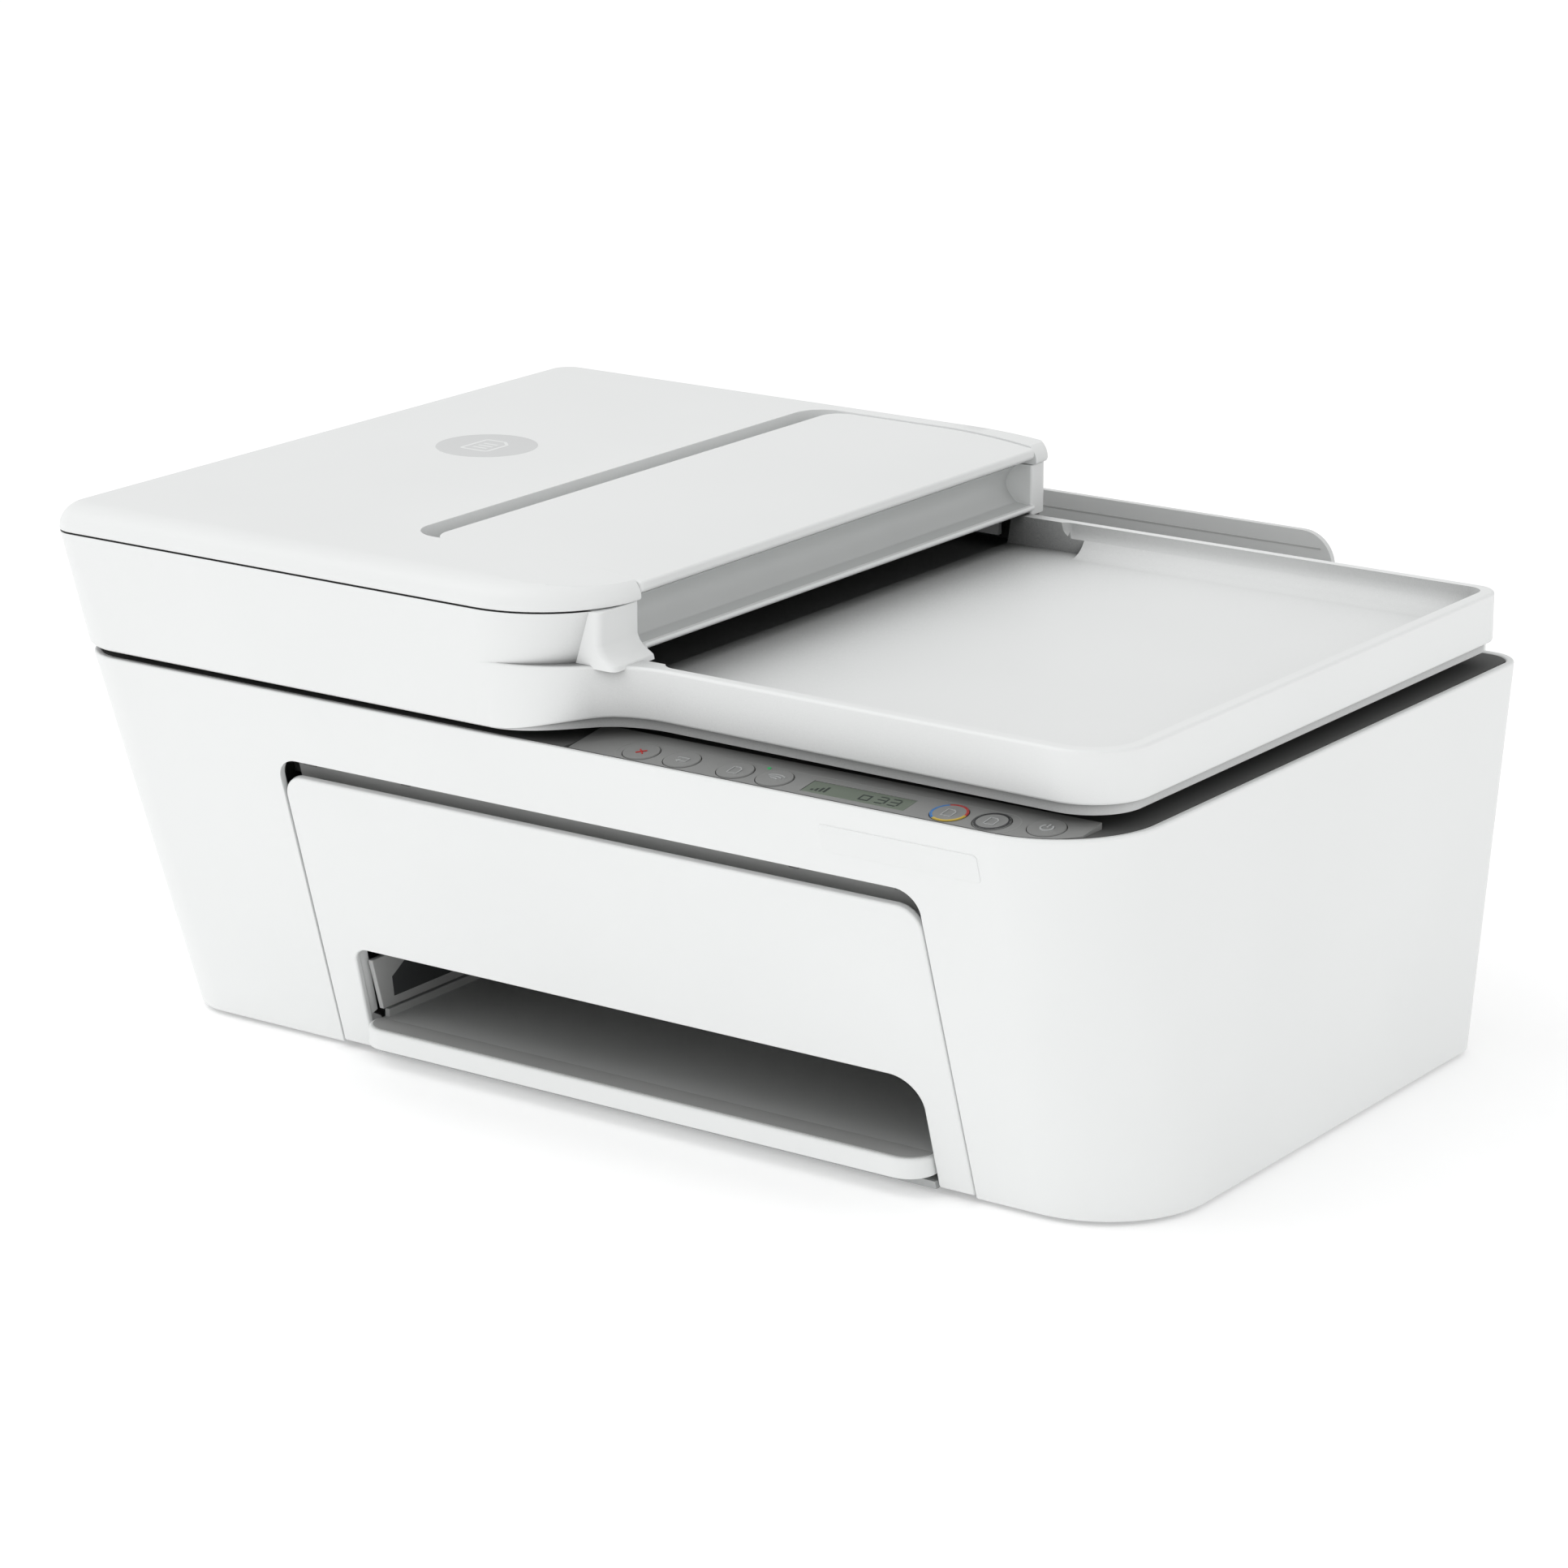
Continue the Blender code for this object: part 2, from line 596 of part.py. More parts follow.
def top_deck():
    """Grey scanner deck inside the rim, with the opening for the glass and a pocket for the panel."""
    inset = WALL + GAP
    top, low = RIM_Z - 0.0003, RIM_Z - DECK_THICKNESS
    deck = add("top_deck", loft([(body_outline(low, inset), low), (body_outline(top, inset), top)]), GREY)
    x, y = GLASS_WIDTH / 2 - 0.004, GLASS_DEPTH / 2 - 0.004
    cut(deck, box((GLASS_CENTRE_X - x, GLASS_CENTRE_X + x), (GLASS_CENTRE_Y - y, GLASS_CENTRE_Y + y),
                  (0.1, 0.2)))
    x, y = GLASS_WIDTH / 2 + GAP, GLASS_DEPTH / 2 + GAP
    cut(deck, box((GLASS_CENTRE_X - x, GLASS_CENTRE_X + x), (GLASS_CENTRE_Y - y, GLASS_CENTRE_Y + y),
                  (top - GLASS_THICKNESS, 0.2)))
    pocket = panel_outline(-GAP)
    cut(deck, prism(pocket, low - 0.01, top + 0.01))


def panel_outline(inset):
    """Plan of the control panel along the front right of the deck."""
    radius = FRONT_RIGHT_RADIUS - PANEL_EDGE - inset
    centre = (side_x(RIM_Z) - FRONT_RIGHT_RADIUS, front_y(RIM_Z) + FRONT_RIGHT_RADIUS)
    left, right = PANEL_LEFT_X + inset, PANEL_RIGHT_X - inset
    back = PANEL_FRONT_Y + PANEL_DEPTH - inset
    corner = arc(centre, radius, -pi / 2, -acos((right - centre[0]) / radius), 8)
    return [Vector(p) for p in [(left, back), (left, PANEL_FRONT_Y + inset), *corner, (right, back)]]


def scanner_glass():
    x, y = GLASS_WIDTH / 2, GLASS_DEPTH / 2
    top = RIM_Z - 0.0003
    add("scanner_glass", box((GLASS_CENTRE_X - x, GLASS_CENTRE_X + x),
                             (GLASS_CENTRE_Y - y, GLASS_CENTRE_Y + y),
                             (top - GLASS_THICKNESS + GAP, top)), GLASS)


def control_panel():
    """Panel tilted to the front with round holes for the buttons and a window for the display."""
    front = PANEL_FRONT_Y
    corners = panel_outline(0.0)
    rise = tan(PANEL_TILT)
    shape = bmesh.new()
    low = [shape.verts.new((p.x, p.y, PANEL_FRONT_Z - PANEL_THICKNESS)) for p in corners]
    high = [shape.verts.new((p.x, p.y, PANEL_FRONT_Z + (p.y - front) * rise)) for p in corners]
    for i in range(len(low)):
        j = (i + 1) % len(low)
        shape.faces.new((low[i], low[j], high[j], high[i]))
    shape.faces.new(list(reversed(low)))
    shape.faces.new(high)
    panel = add("control_panel", shape, GREY)
    for name, x in BUTTON_X.items():
        hole = disc((x, button_setback(name)), BUTTON_RADIUS + BUTTON_CLEARANCE)
        cut(panel, prism(hole, -0.02, 0.02), frame=PANEL_FACE)
    x, y = LCD_WIDTH / 2 + GAP, LCD_DEPTH / 2 + GAP
    cut(panel, box((LCD_CENTRE_X - x, LCD_CENTRE_X + x), (-y, y), (-0.02, 0.02)), frame=PANEL_FACE)


def lcd_window():
    x, y = LCD_WIDTH / 2, LCD_DEPTH / 2
    add("lcd_window", box((LCD_CENTRE_X - x, LCD_CENTRE_X + x), (-y, y), (-0.0024, -0.0002)), LCD,
        frame=PANEL_FACE)


def button_setback(name):
    """Distance of a key behind the row: the power key stands back in the panel's round corner."""
    return POWER_SETBACK if name == "power_button" else 0.0


def buttons():
    """Round keys that stand a little proud of the panel and travel down into it."""
    for name, x in BUTTON_X.items():
        outline = disc((0, 0), BUTTON_RADIUS)
        crown = disc((0, 0), BUTTON_RADIUS - 0.0005)
        rings = [(outline, BUTTON_PROUD - BUTTON_HEIGHT), (outline, BUTTON_PROUD - 0.0003),
                 (crown, BUTTON_PROUD)]
        shape = loft([([Vector(p) for p in ring], z) for ring, z in rings])
        add(name, shape, GREY, frame=PANEL_FACE @ Matrix.Translation((x, button_setback(name), 0)))


# ---------------------------------------------------------------- door and output tray
def access_door():
    """Front door with a slot for the output tray, hung on pins at its two feet."""
    outline = filleted([
        (DOOR_LEFT_X, DOOR_FOOT, 0),
        (SLOT_LEFT_X - 0.0013, DOOR_FOOT, 0),
        (SLOT_LEFT_X + 0.0013, SLOT_HEIGHT, SLOT_LEFT_RADIUS),
        (SLOT_RIGHT_X, SLOT_HEIGHT, SLOT_RIGHT_RADIUS),
        (SLOT_RIGHT_X, DOOR_FOOT, 0),
        (DOOR_RIGHT_X, DOOR_FOOT, 0),
        (DOOR_TOP_RIGHT_X, DOOR_HEIGHT, DOOR_CORNER),
        (DOOR_TOP_LEFT_X, DOOR_HEIGHT, DOOR_CORNER),
    ])
    hinge = Matrix.Translation((0, DOOR_AXIS_UP, -DOOR_AXIS_DEPTH))
    shape = prism(outline, -DOOR_THICKNESS, 0)
    bmesh.ops.transform(shape, matrix=hinge.inverted(), verts=shape.verts)
    door = add("access_door", shape, WHITE, frame=FRONT_FACE @ hinge)
    axis = (DOOR_AXIS_UP, -DOOR_AXIS_DEPTH)
    for left, right, pin in (
        (DOOR_LEFT_X + 0.0015, SLOT_LEFT_X - 0.0025, DOOR_LEFT_X - 0.006),
        (SLOT_RIGHT_X + 0.0015, DOOR_RIGHT_X - 0.0015, DOOR_RIGHT_X + 0.006),
    ):
        fuse(door, along_x([
            (axis[0] - 0.0030, axis[1] - 0.0025),
            (axis[0] + 0.0030, axis[1] - 0.0025),
            (axis[0] + 0.0100, -DOOR_THICKNESS + 0.0010),
            (axis[0] - 0.0040, -DOOR_THICKNESS + 0.0010),
        ], left, right), frame=FRONT_FACE)
        fuse(door, along_x(disc(axis, PIN_RADIUS, 16), min(pin, right - 0.002), max(pin, left + 0.002)),
             frame=FRONT_FACE)


def output_tray():
    """Grey tray under the slot, with its white lip."""
    low, high = OUT_TRAY_Z - OUT_TRAY_THICKNESS, OUT_TRAY_Z
    back = FRONT_Y + OUT_TRAY_LENGTH
    front = front_y(OUT_TRAY_Z) + 0.004
    corner = (TRAY_LEFT_X, front, high)
    tray = add("output_tray", box((TRAY_LEFT_X, TRAY_RIGHT_END_X), (front, back), (low, high)), GREY,
               at=corner)
    fuse(tray, box((TRAY_LEFT_X, TRAY_LEFT_X + 0.002), (front + 0.004, back),
                   (low + 0.001, high + 0.003)))
    fuse(tray, box((TRAY_RIGHT_END_X - 0.002, TRAY_RIGHT_END_X), (front + 0.004, back),
                   (low + 0.001, high + 0.003)))
    lip_front = front_y(OUT_TRAY_Z) - LIP_PROUD
    lip = filleted([
        (TRAY_LEFT_X, lip_front, LIP_CORNER),
        (TRAY_RIGHT_END_X, lip_front, LIP_CORNER),
        (TRAY_RIGHT_END_X, front - GAP, 0),
        (TRAY_LEFT_X, front - GAP, 0),
    ])
    add("tray_lip", prism(lip, OUT_TRAY_Z + 0.001 - LIP_HEIGHT, OUT_TRAY_Z + 0.001), WHITE, parent=tray,
        at=(TRAY_LEFT_X, front, high))


# ---------------------------------------------------------------- lid and document feeder
def scanner_lid():
    """White lid: the feeder's walls on the left, and the tray for finished documents on the right."""
    seam = FEEDER_SEAM_Z - GAP
    low = TRAY_RIM_Z - 0.004
    block = loft([(feeder_outline(low, FEEDER_STEP), low), (feeder_outline(seam, FEEDER_STEP), seam)])
    axis = (0, LID_AXIS_Y, LID_AXIS_Z)
    lid = add("scanner_lid", block, WHITE, at=axis)
    cut(lid, box((FEEDER_RIGHT_X - PILLAR_DEPTH_X - GAP, 0.05), (PILLAR_FRONT_Y - GAP, 0.2),
                 (TRAY_RIM_Z, 0.21)))
    fuse(lid, loft([(lid_outline(LID_Z), LID_Z), (lid_outline(TRAY_RIM_Z), TRAY_RIM_Z)]))
    floor = TRAY_FLOOR_Z - 0.003
    cut(lid, loft([(feeder_outline(floor, WALL), floor), (feeder_outline(0.21, WALL), 0.21)]))
    cut(lid, loft([(lid_outline(LID_Z - 0.01, 0.0032), LID_Z - 0.01),
                   (lid_outline(RECESS_Z, 0.0032), RECESS_Z)]))
    cut(lid, box((FEEDER_RIGHT_X - 0.013, 0.3), (-0.3, 0.3), (LID_Z - 0.02, RECESS_Z - 0.0001)))
    low, high = TRAY_FLOOR_Z, TRAY_RIM_Z + 0.0005
    left = FEEDER_RIGHT_X + 0.014
    cut(lid, loft([(basin_outline(left + 0.006, 0.006), low), (basin_outline(left, 0.0), high)]))
    cut(lid, box((-0.070, left + 0.012), (MOUTH_FRONT_Y - 0.007, MOUTH_BACK_Y - 0.0065), (low, 0.2)))
    x = HINGE_WIDTH / 2 + RUNNING
    cut(lid, box((-HINGE_X - x, -HINGE_X + x), (TRAY_BACK_Y, LID_AXIS_Y), (LID_Z - 0.01, RECESS_Z)))
    return lid


def basin_outline(left, inset):
    """Plan of the document tray's hollow, inside its rim."""
    right = TRAY_RIGHT_X - TRAY_RIM - inset
    front = TRAY_FRONT_Y + TRAY_RIM + inset
    back = TRAY_BACK_Y - TRAY_RIM - 1.8 * inset
    return filleted([
        (left, front - 0.001, 0.006),
        (right, front - 0.0035, rounding(0.017, inset)),
        (right, back, 0.006),
        (left, back, 0.006),
    ])


def lid_base(lid):
    """Grey plate under the lid with the two hinge arms."""
    high = RECESS_Z - GAP
    low = high - LID_PLATE
    plate = add("lid_base", loft([(lid_outline(low, 0.0038), low), (lid_outline(high, 0.0038), high)]),
                GREY,
                parent=lid, at=(0, LID_AXIS_Y, LID_AXIS_Z))
    for side in (-1, 1):
        x = side * HINGE_X
        arm = [
            (TRAY_BACK_Y - 0.015, low),
            (LID_AXIS_Y, LID_AXIS_Z - HINGE_RADIUS),
            *arc((LID_AXIS_Y, LID_AXIS_Z), HINGE_RADIUS, -pi / 3, pi * 0.75),
            (FEEDER_BACK_Y + 0.003, high),
            (TRAY_BACK_Y - 0.015, high),
        ]
        half = HINGE_WIDTH / 2
        fuse(plate, along_x(arm, x - half, x + half))
        reach = half + RUNNING + EAR_WIDTH - 0.001
        fuse(plate, along_x(disc((LID_AXIS_Y, LID_AXIS_Z), PIN_RADIUS, 16), x - reach, x + reach))
    pad_top = low - GAP
    add("document_pad", box((GLASS_CENTRE_X - GLASS_WIDTH / 2, GLASS_CENTRE_X + GLASS_WIDTH / 2),
                            (GLASS_CENTRE_Y - GLASS_DEPTH / 2, GLASS_CENTRE_Y + GLASS_DEPTH / 2),
                            (pad_top - PAD_THICKNESS, pad_top)), FOAM, parent=lid,
                            at=(0, LID_AXIS_Y, LID_AXIS_Z))


def feeder_frame(lid):
    """Feeder's inner frame: the two pillars at its mouth, the shelf between them, and its side plates."""
    low, seam = TRAY_RIM_Z + GAP, FEEDER_SEAM_Z - GAP
    frame = add("feeder_frame", loft([(feeder_outline(low, FEEDER_STEP), low),
                                      (feeder_outline(seam, FEEDER_STEP), seam)]), WHITE,
                parent=lid, at=(0, LID_AXIS_Y, LID_AXIS_Z))
    inner = FEEDER_RIGHT_X - PILLAR_DEPTH_X
    cut(frame, box((-0.3, inner), (-0.3, 0.3), (0.1, 0.3)))
    cut(frame, box((-0.1, 0.1), (-0.3, PILLAR_FRONT_Y), (0.1, 0.3)))
    cut(frame, box((-0.1, 0.1), (MOUTH_FRONT_Y, MOUTH_BACK_Y), (0.1, 0.3)))
    floor_top = seam - 0.0008
    shelf = [
        (SHELF_Z, FEEDER_RIGHT_X - 0.001),
        (SHELF_Z + 0.0020, FEEDER_RIGHT_X - 0.001),
        (SHELF_Z + 0.0035, FEEDER_RIGHT_X - 0.007),
        (SHELF_Z + 0.0070, FEEDER_RIGHT_X - 0.0098),
        (SHELF_Z + 0.0120, FEEDER_RIGHT_X - 0.0105),
        (floor_top, FEEDER_RIGHT_X - 0.0085),
        (floor_top, FEEDER_FLOOR_LEFT_X),
        (floor_top - 0.0025, FEEDER_FLOOR_LEFT_X - 0.004),
        (floor_top - 0.0025, FEEDER_RIGHT_X - 0.013),
        (SHELF_Z + 0.0045, FEEDER_RIGHT_X - 0.0135),
        (SHELF_Z, FEEDER_RIGHT_X - 0.018),
    ]
    fuse(frame, along_y(shelf, MOUTH_FRONT_Y - 0.002, MOUTH_BACK_Y + 0.002))
    for y in (MOUTH_FRONT_Y - 0.0025, MOUTH_BACK_Y):
        fuse(frame, box((FEEDER_PLATE_LEFT_X, inner + 0.002), (y, y + 0.0025),
                        (TRAY_FLOOR_Z + GAP, floor_top)))
        for x, z, radius in FEEDER_SHAFTS:
            cut(frame, along_y(disc((z, x), radius + RUNNING, 16), y - 0.01, y + 0.01))


def feeder_rollers(lid):
    """Pick roller over the document floor and feed roller behind it, both along Y."""
    for name, (x, z, shaft), tyre, span in (
        ("feeder_pick_roller", FEEDER_SHAFTS[0], 0.0085, 0.020),
        ("feeder_drive_roller", FEEDER_SHAFTS[1], 0.0110, 0.095),
    ):
        ends = MOUTH_FRONT_Y - 0.0045, MOUTH_BACK_Y + 0.0045
        stations = [(ends[0], shaft), (-span, shaft), (-span, tyre), (span, tyre), (span, shaft),
                    (ends[1], shaft)]
        shape = loft([([Vector(p) for p in disc((z, x), radius, 16)], y) for y, radius in stations])
        bmesh.ops.transform(shape, matrix=Matrix(((0, 1, 0, 0), (0, 0, 1, 0), (1, 0, 0, 0),
                                                  (0, 0, 0, 1))),
                            verts=shape.verts)
        add(name, shape, RUBBER, parent=lid, at=(x, 0, z))


def top_profile(lift=0.0):
    """Side view (z, x) of the feeder's top, which droops to the right; it is closed far below."""
    right = FEEDER_RIGHT_X + 0.02
    droop = [(FEEDER_TOP_Z + lift - FEEDER_DROOP * (i / 6) ** 2,
              -0.030 + (FEEDER_RIGHT_X + 0.030) * i / 6)
             for i in range(7)]
    end = FEEDER_TOP_Z + lift - FEEDER_DROOP * 1.5
    return [(0.15, -0.25), (FEEDER_TOP_Z + lift, -0.25), *droop, (end, right), (0.15, right)]


def feeder_cover(lid):
    """White top cover of the feeder, hinged along its left edge, with a bay for the flap."""
    low, top = FEEDER_SEAM_Z, FEEDER_TOP_Z
    axis = (FEEDER_COVER_AXIS_X, 0, FEEDER_COVER_AXIS_Z)
    cover = add("feeder_cover", loft([
        (feeder_outline(low, 0.0010), low),
        (feeder_outline(COVER_Z), COVER_Z),
        (feeder_outline(COVER_Z, 0.0002), low + 0.0045),
        (feeder_outline(COVER_Z, 0.0022), low + 0.0080),
        (feeder_outline(COVER_Z, 0.0060), top),
    ]), WHITE, parent=lid, at=axis)
    combine(cover, "INTERSECT", along_y(top_profile(), -0.3, 0.3))
    left = FLAP_LEFT_X - FLAP_SLOT
    cut(cover, prism(filleted([
        (left, FLAP_FRONT_Y - FLAP_END_GAP, 0.012),
        (0.1, FLAP_FRONT_Y - FLAP_END_GAP, 0),
        (0.1, FLAP_BACK_Y + FLAP_END_GAP, 0),
        (left, FLAP_BACK_Y + FLAP_END_GAP, 0.012),
    ]), 0.1, 0.3))
    hollow = FEEDER_SEAM_Z + 0.0045
    cut(cover, box((FEEDER_LEFT_X + 0.012, left - 0.004), (FLAP_FRONT_Y, FLAP_BACK_Y), (0.1, hollow)))


def document_flap(lid):
    """Flap over the feeder's floor; it swings over to the right and becomes the document tray."""
    shape = prism(filleted([
        (FLAP_LEFT_X, FLAP_FRONT_Y, 0.009),
        (FEEDER_RIGHT_X, FLAP_FRONT_Y, 0.0015),
        (FEEDER_RIGHT_X, FLAP_BACK_Y, 0.0015),
        (FLAP_LEFT_X, FLAP_BACK_Y, 0.009),
    ]), 0.18, 0.22)
    flap = add("document_flap", shape, WHITE, parent=lid, at=(FLAP_AXIS_X, 0, FLAP_AXIS_Z))
    top = top_profile(-0.0004)
    combine(flap, "INTERSECT", along_y(top, -0.3, 0.3))
    under = [(z - FLAP_THICKNESS, x) for z, x in top[1:-1]]
    cut(flap, along_y([(0.10, -0.25), *under, (0.10, under[-1][1])], -0.3, 0.3))
    cut(flap, along_y([(FLAP_AXIS_Z - 0.0010, FEEDER_RIGHT_X + 0.001),
                       (FLAP_AXIS_Z - 0.0037, FLAP_AXIS_X),
                       (0.18, FLAP_AXIS_X), (0.18, FEEDER_RIGHT_X + 0.001)], -0.3, 0.3))


def document_guides(lid):
    """Pair of width guides on the feeder's floor, which slide to and from each other."""
    floor = FEEDER_SEAM_Z - GAP - 0.0008
    for name, side in (("document_guide_front", -1), ("document_guide_back", 1)):
        y = DOCUMENT_GUIDE_Y * side
        guide = add(name, box((-0.055, -0.015), (min(y, y + side * 0.0025), max(y, y + side * 0.0025)),
                              (floor + GAP, floor + 0.0034)), LIGHT_GREY, parent=lid,
                              at=(-0.035, y, floor))
        fuse(guide, box((-0.040, -0.030), (min(y, y - side * 0.012), max(y, y - side * 0.012)),
                        (floor + GAP, floor + GAP + 0.0012)))


# ---------------------------------------------------------------- rear paper feed
def rear_housing():
    """Housing of the rear paper feed: a chute behind the body, open at the top."""
    half = REAR_WIDTH / 2
    front = [(back_y(z) + GAP, z) for z in (REAR_FOOT_Z, REAR_TOP_Z)]
    housing = add("rear_housing", along_x([
        front[0], (REAR_BACK_Y - 0.012, REAR_FOOT_Z), (REAR_BACK_Y, 0.070), (REAR_BACK_Y, REAR_TOP_Z),
        front[1],
    ], -half, half), WHITE, at=(0, BODY_BACK_Y, REAR_FOOT_Z))
    inner = half - REAR_WALL
    cut(housing, along_x([
        (BODY_BACK_Y - 0.01, 0.040), (REAR_BACK_Y - REAR_WALL - 0.006, 0.050),
        (REAR_BACK_Y - REAR_WALL, 0.075), (REAR_BACK_Y - REAR_WALL, 0.30), (BODY_BACK_Y - 0.01, 0.30),
    ], -inner, inner))
    cut(housing, box((-inner, inner), (REAR_TRAY_FRONT_Y - 0.001, 0.2), (REAR_TRAY_AXIS_Z - 0.006, 0.2)))
    for side in (-1, 1):
        cut(housing, along_x(disc((REAR_TRAY_AXIS_Y, REAR_TRAY_AXIS_Z - 0.004), PIN_RADIUS + RUNNING, 12),
                             side * half - 0.0045, side * half + 0.0045))


def rear_tray():
    """Upright paper tray that tilts back on two pins, with a pull-up extender and two width guides."""
    half = REAR_TRAY_WIDTH / 2
    axis_z = REAR_TRAY_AXIS_Z - 0.004
    low = axis_z - 0.003
    front, back = REAR_TRAY_FRONT_Y, REAR_TRAY_FRONT_Y + REAR_TRAY_THICKNESS
    outline = filleted([
        (-half, low, 0), (half, low, 0), (half, REAR_TRAY_TOP_Z, REAR_TRAY_CORNER),
        (-half, REAR_TRAY_TOP_Z, REAR_TRAY_CORNER),
    ])
    upright = Matrix(((1, 0, 0, 0), (0, 0, -1, 0), (0, 1, 0, 0), (0, 0, 0, 1)))
    shape = prism(outline, -back, -front)
    bmesh.ops.transform(shape, matrix=upright, verts=shape.verts)
    tray = add("rear_tray", shape, LIGHT_GREY, at=(0, REAR_TRAY_AXIS_Y, axis_z))
    pin = REAR_WIDTH / 2 - 0.001
    fuse(tray, along_x(disc((REAR_TRAY_AXIS_Y, axis_z), PIN_RADIUS, 12), -pin, pin))
    x = EXTENDER_WIDTH / 2 + RUNNING
    extender_back = back + GAP + EXTENDER_THICKNESS
    rail_low, rail_high = REAR_TRAY_TOP_Z - EXTENDER_HEIGHT, REAR_TRAY_TOP_Z - 0.012
    for side in (-1, 1):
        fuse(tray, box((min(side * x, side * (x + 0.004)), max(side * x, side * (x + 0.004))),
                       (back - 0.0005, extender_back + GAP), (rail_low, rail_high)))
    outline = filleted([
        (-EXTENDER_WIDTH / 2, rail_low, 0), (EXTENDER_WIDTH / 2, rail_low, 0),
        (EXTENDER_WIDTH / 2, REAR_TRAY_TOP_Z - 0.0006, 0.008),
        (-EXTENDER_WIDTH / 2, REAR_TRAY_TOP_Z - 0.0006, 0.008),
    ])
    shape = prism(outline, -extender_back, -back - GAP)
    bmesh.ops.transform(shape, matrix=upright, verts=shape.verts)
    add("tray_extender", shape, LIGHT_GREY, parent=tray, at=(0, back + GAP, rail_low))
    for name, side in (("paper_guide_left", -1), ("paper_guide_right", 1)):
        inner = side * GUIDE_X
        outer = inner + side * GUIDE_THICKNESS
        z = REAR_TRAY_AXIS_Z + 0.004
        guide = add(name, box((min(inner, outer), max(inner, outer)), (front - GUIDE_DEPTH, front - GAP),
                              (z, z + GUIDE_HEIGHT)), GREY, parent=tray, at=(inner, front, z))
        foot = inner - side * 0.010
        fuse(guide, box((min(foot, outer), max(foot, outer)), (front - 0.0022, front - GAP),
                        (z, z + 0.012)))


# ---------------------------------------------------------------- sockets
def sockets():
    """Mains inlet and data port in the back wall, each with an open socket."""
    for name, x, z, width, height, depth, lip in (
        ("power_inlet", INLET_X, INLET_Z, INLET_WIDTH, INLET_HEIGHT, INLET_DEPTH, 0.0022),
        ("usb_port", USB_X, USB_Z, USB_WIDTH, USB_HEIGHT, USB_DEPTH, 0.0016),
    ):
        back = back_y(z)
        block = add(name, box((x - width / 2, x + width / 2), (back - depth, back),
                              (z - height / 2, z + height / 2)), BLACK, at=(x, back, z))
        cut(block, box((x - width / 2 + lip, x + width / 2 - lip), (back - depth + 0.003, back + 0.01),
                       (z - height / 2 + lip, z + height / 2 - lip)))


# ---------------------------------------------------------------- scanner
def scanner():
    """Bed under the glass with the rod that the scanning bar runs on."""
    inset = 0.0145
    bed = add("scanner_bed", loft([(body_outline(SCAN_BED_Z, inset), SCAN_BED_Z),
                                   (body_outline(SCAN_BED_Z, inset), SCAN_BED_Z + 0.002)]), DARK)
    apron = DOOR_HEIGHT + FINGER_GAP + 0.006
    fuse(bed, box((DOOR_LEFT_X - 0.004, DOOR_RIGHT_X + 0.004), (DOOR_HEIGHT - 0.008, apron),
                  (-0.0165, -0.014)),
         frame=FRONT_FACE)
    post = side_x(SCAN_BED_Z) - inset - 0.009
    for x in (-post - 0.006, post):
        fuse(bed, box((x, x + 0.006), (-0.006, 0.006), (SCAN_BED_Z + 0.001, SCAN_ROD_Z + 0.006)))
    reach = post + 0.004
    cut(bed, turned((0, SCAN_ROD_Z), ((-reach - GAP, SCAN_ROD_RADIUS + GAP),
                                      (reach + GAP, SCAN_ROD_RADIUS + GAP))))
    add("scan_rod", turned((0, SCAN_ROD_Z), ((-reach, SCAN_ROD_RADIUS), (reach, SCAN_ROD_RADIUS))), STEEL,
        at=(0, 0, SCAN_ROD_Z))
    low = SCAN_ROD_Z + SCAN_ROD_RADIUS + RUNNING
    half = GLASS_DEPTH / 2 - 0.002
    x = SCAN_PARK_X
    bar = add("scan_bar", box((x - SCAN_BAR_WIDTH / 2, x + SCAN_BAR_WIDTH / 2), (-half, half),
                              (low + 0.002, low + 0.002 + SCAN_BAR_HEIGHT)), BLACK, at=(x, 0, low))
    fuse(bar, box((x - SCAN_BAR_WIDTH / 2 + 0.001, x + SCAN_BAR_WIDTH / 2 - 0.001), (-0.009, 0.009),
                  (low, low + 0.003)))


# ---------------------------------------------------------------- print engine
def print_frame():
    """Pressed chassis: two side plates and a back plate with the slot for the paper."""
    half, floor = FRAME_HALF_WIDTH, PAN_Z + PAN_THICKNESS + GAP
    frame = add("print_frame", box((-half, half), (FRAME_FRONT_Y, FRAME_BACK_Y), (floor, FRAME_TOP_Z)),
                STEEL)
    inner = half - FRAME_PLATE
    cut(frame, box((-inner, inner), (FRAME_FRONT_Y - 0.01, FRAME_BACK_Y - FRAME_PLATE),
                   (floor - 0.01, 0.2)))
    cut(frame, box((-0.113, 0.113), (FRAME_BACK_Y - 0.01, FRAME_BACK_Y + 0.01), (0.030, 0.068)))
    for side in (-1, 1):
        inner_x, outer_x = side * 0.062, side * 0.065
        fuse(frame, box((min(inner_x, outer_x), max(inner_x, outer_x)),
                        (FRAME_BACK_Y - FRAME_PLATE, PICK_ROLLER_Y + 0.008),
                        (PICK_ROLLER_Z - 0.007, PICK_ROLLER_Z + 0.012)))
    for (y, z), radius in (((FEED_ROLLER_Y, FEED_ROLLER_Z), 0.003),
                           ((EJECT_ROLLER_Y, EJECT_ROLLER_Z), 0.002),
                           ((PICK_ROLLER_Y, PICK_ROLLER_Z), 0.003), (FEED_MOTOR_AXIS, 0.003)):
        cut(frame, turned((y, z), ((-0.2, radius + RUNNING), (0.2, radius + RUNNING))))
    cut(frame, along_y(disc((RAIL_Z + 0.006, PULLEY_X), 0.003, 12), FRAME_BACK_Y - 0.01,
                       FRAME_BACK_Y + 0.01))


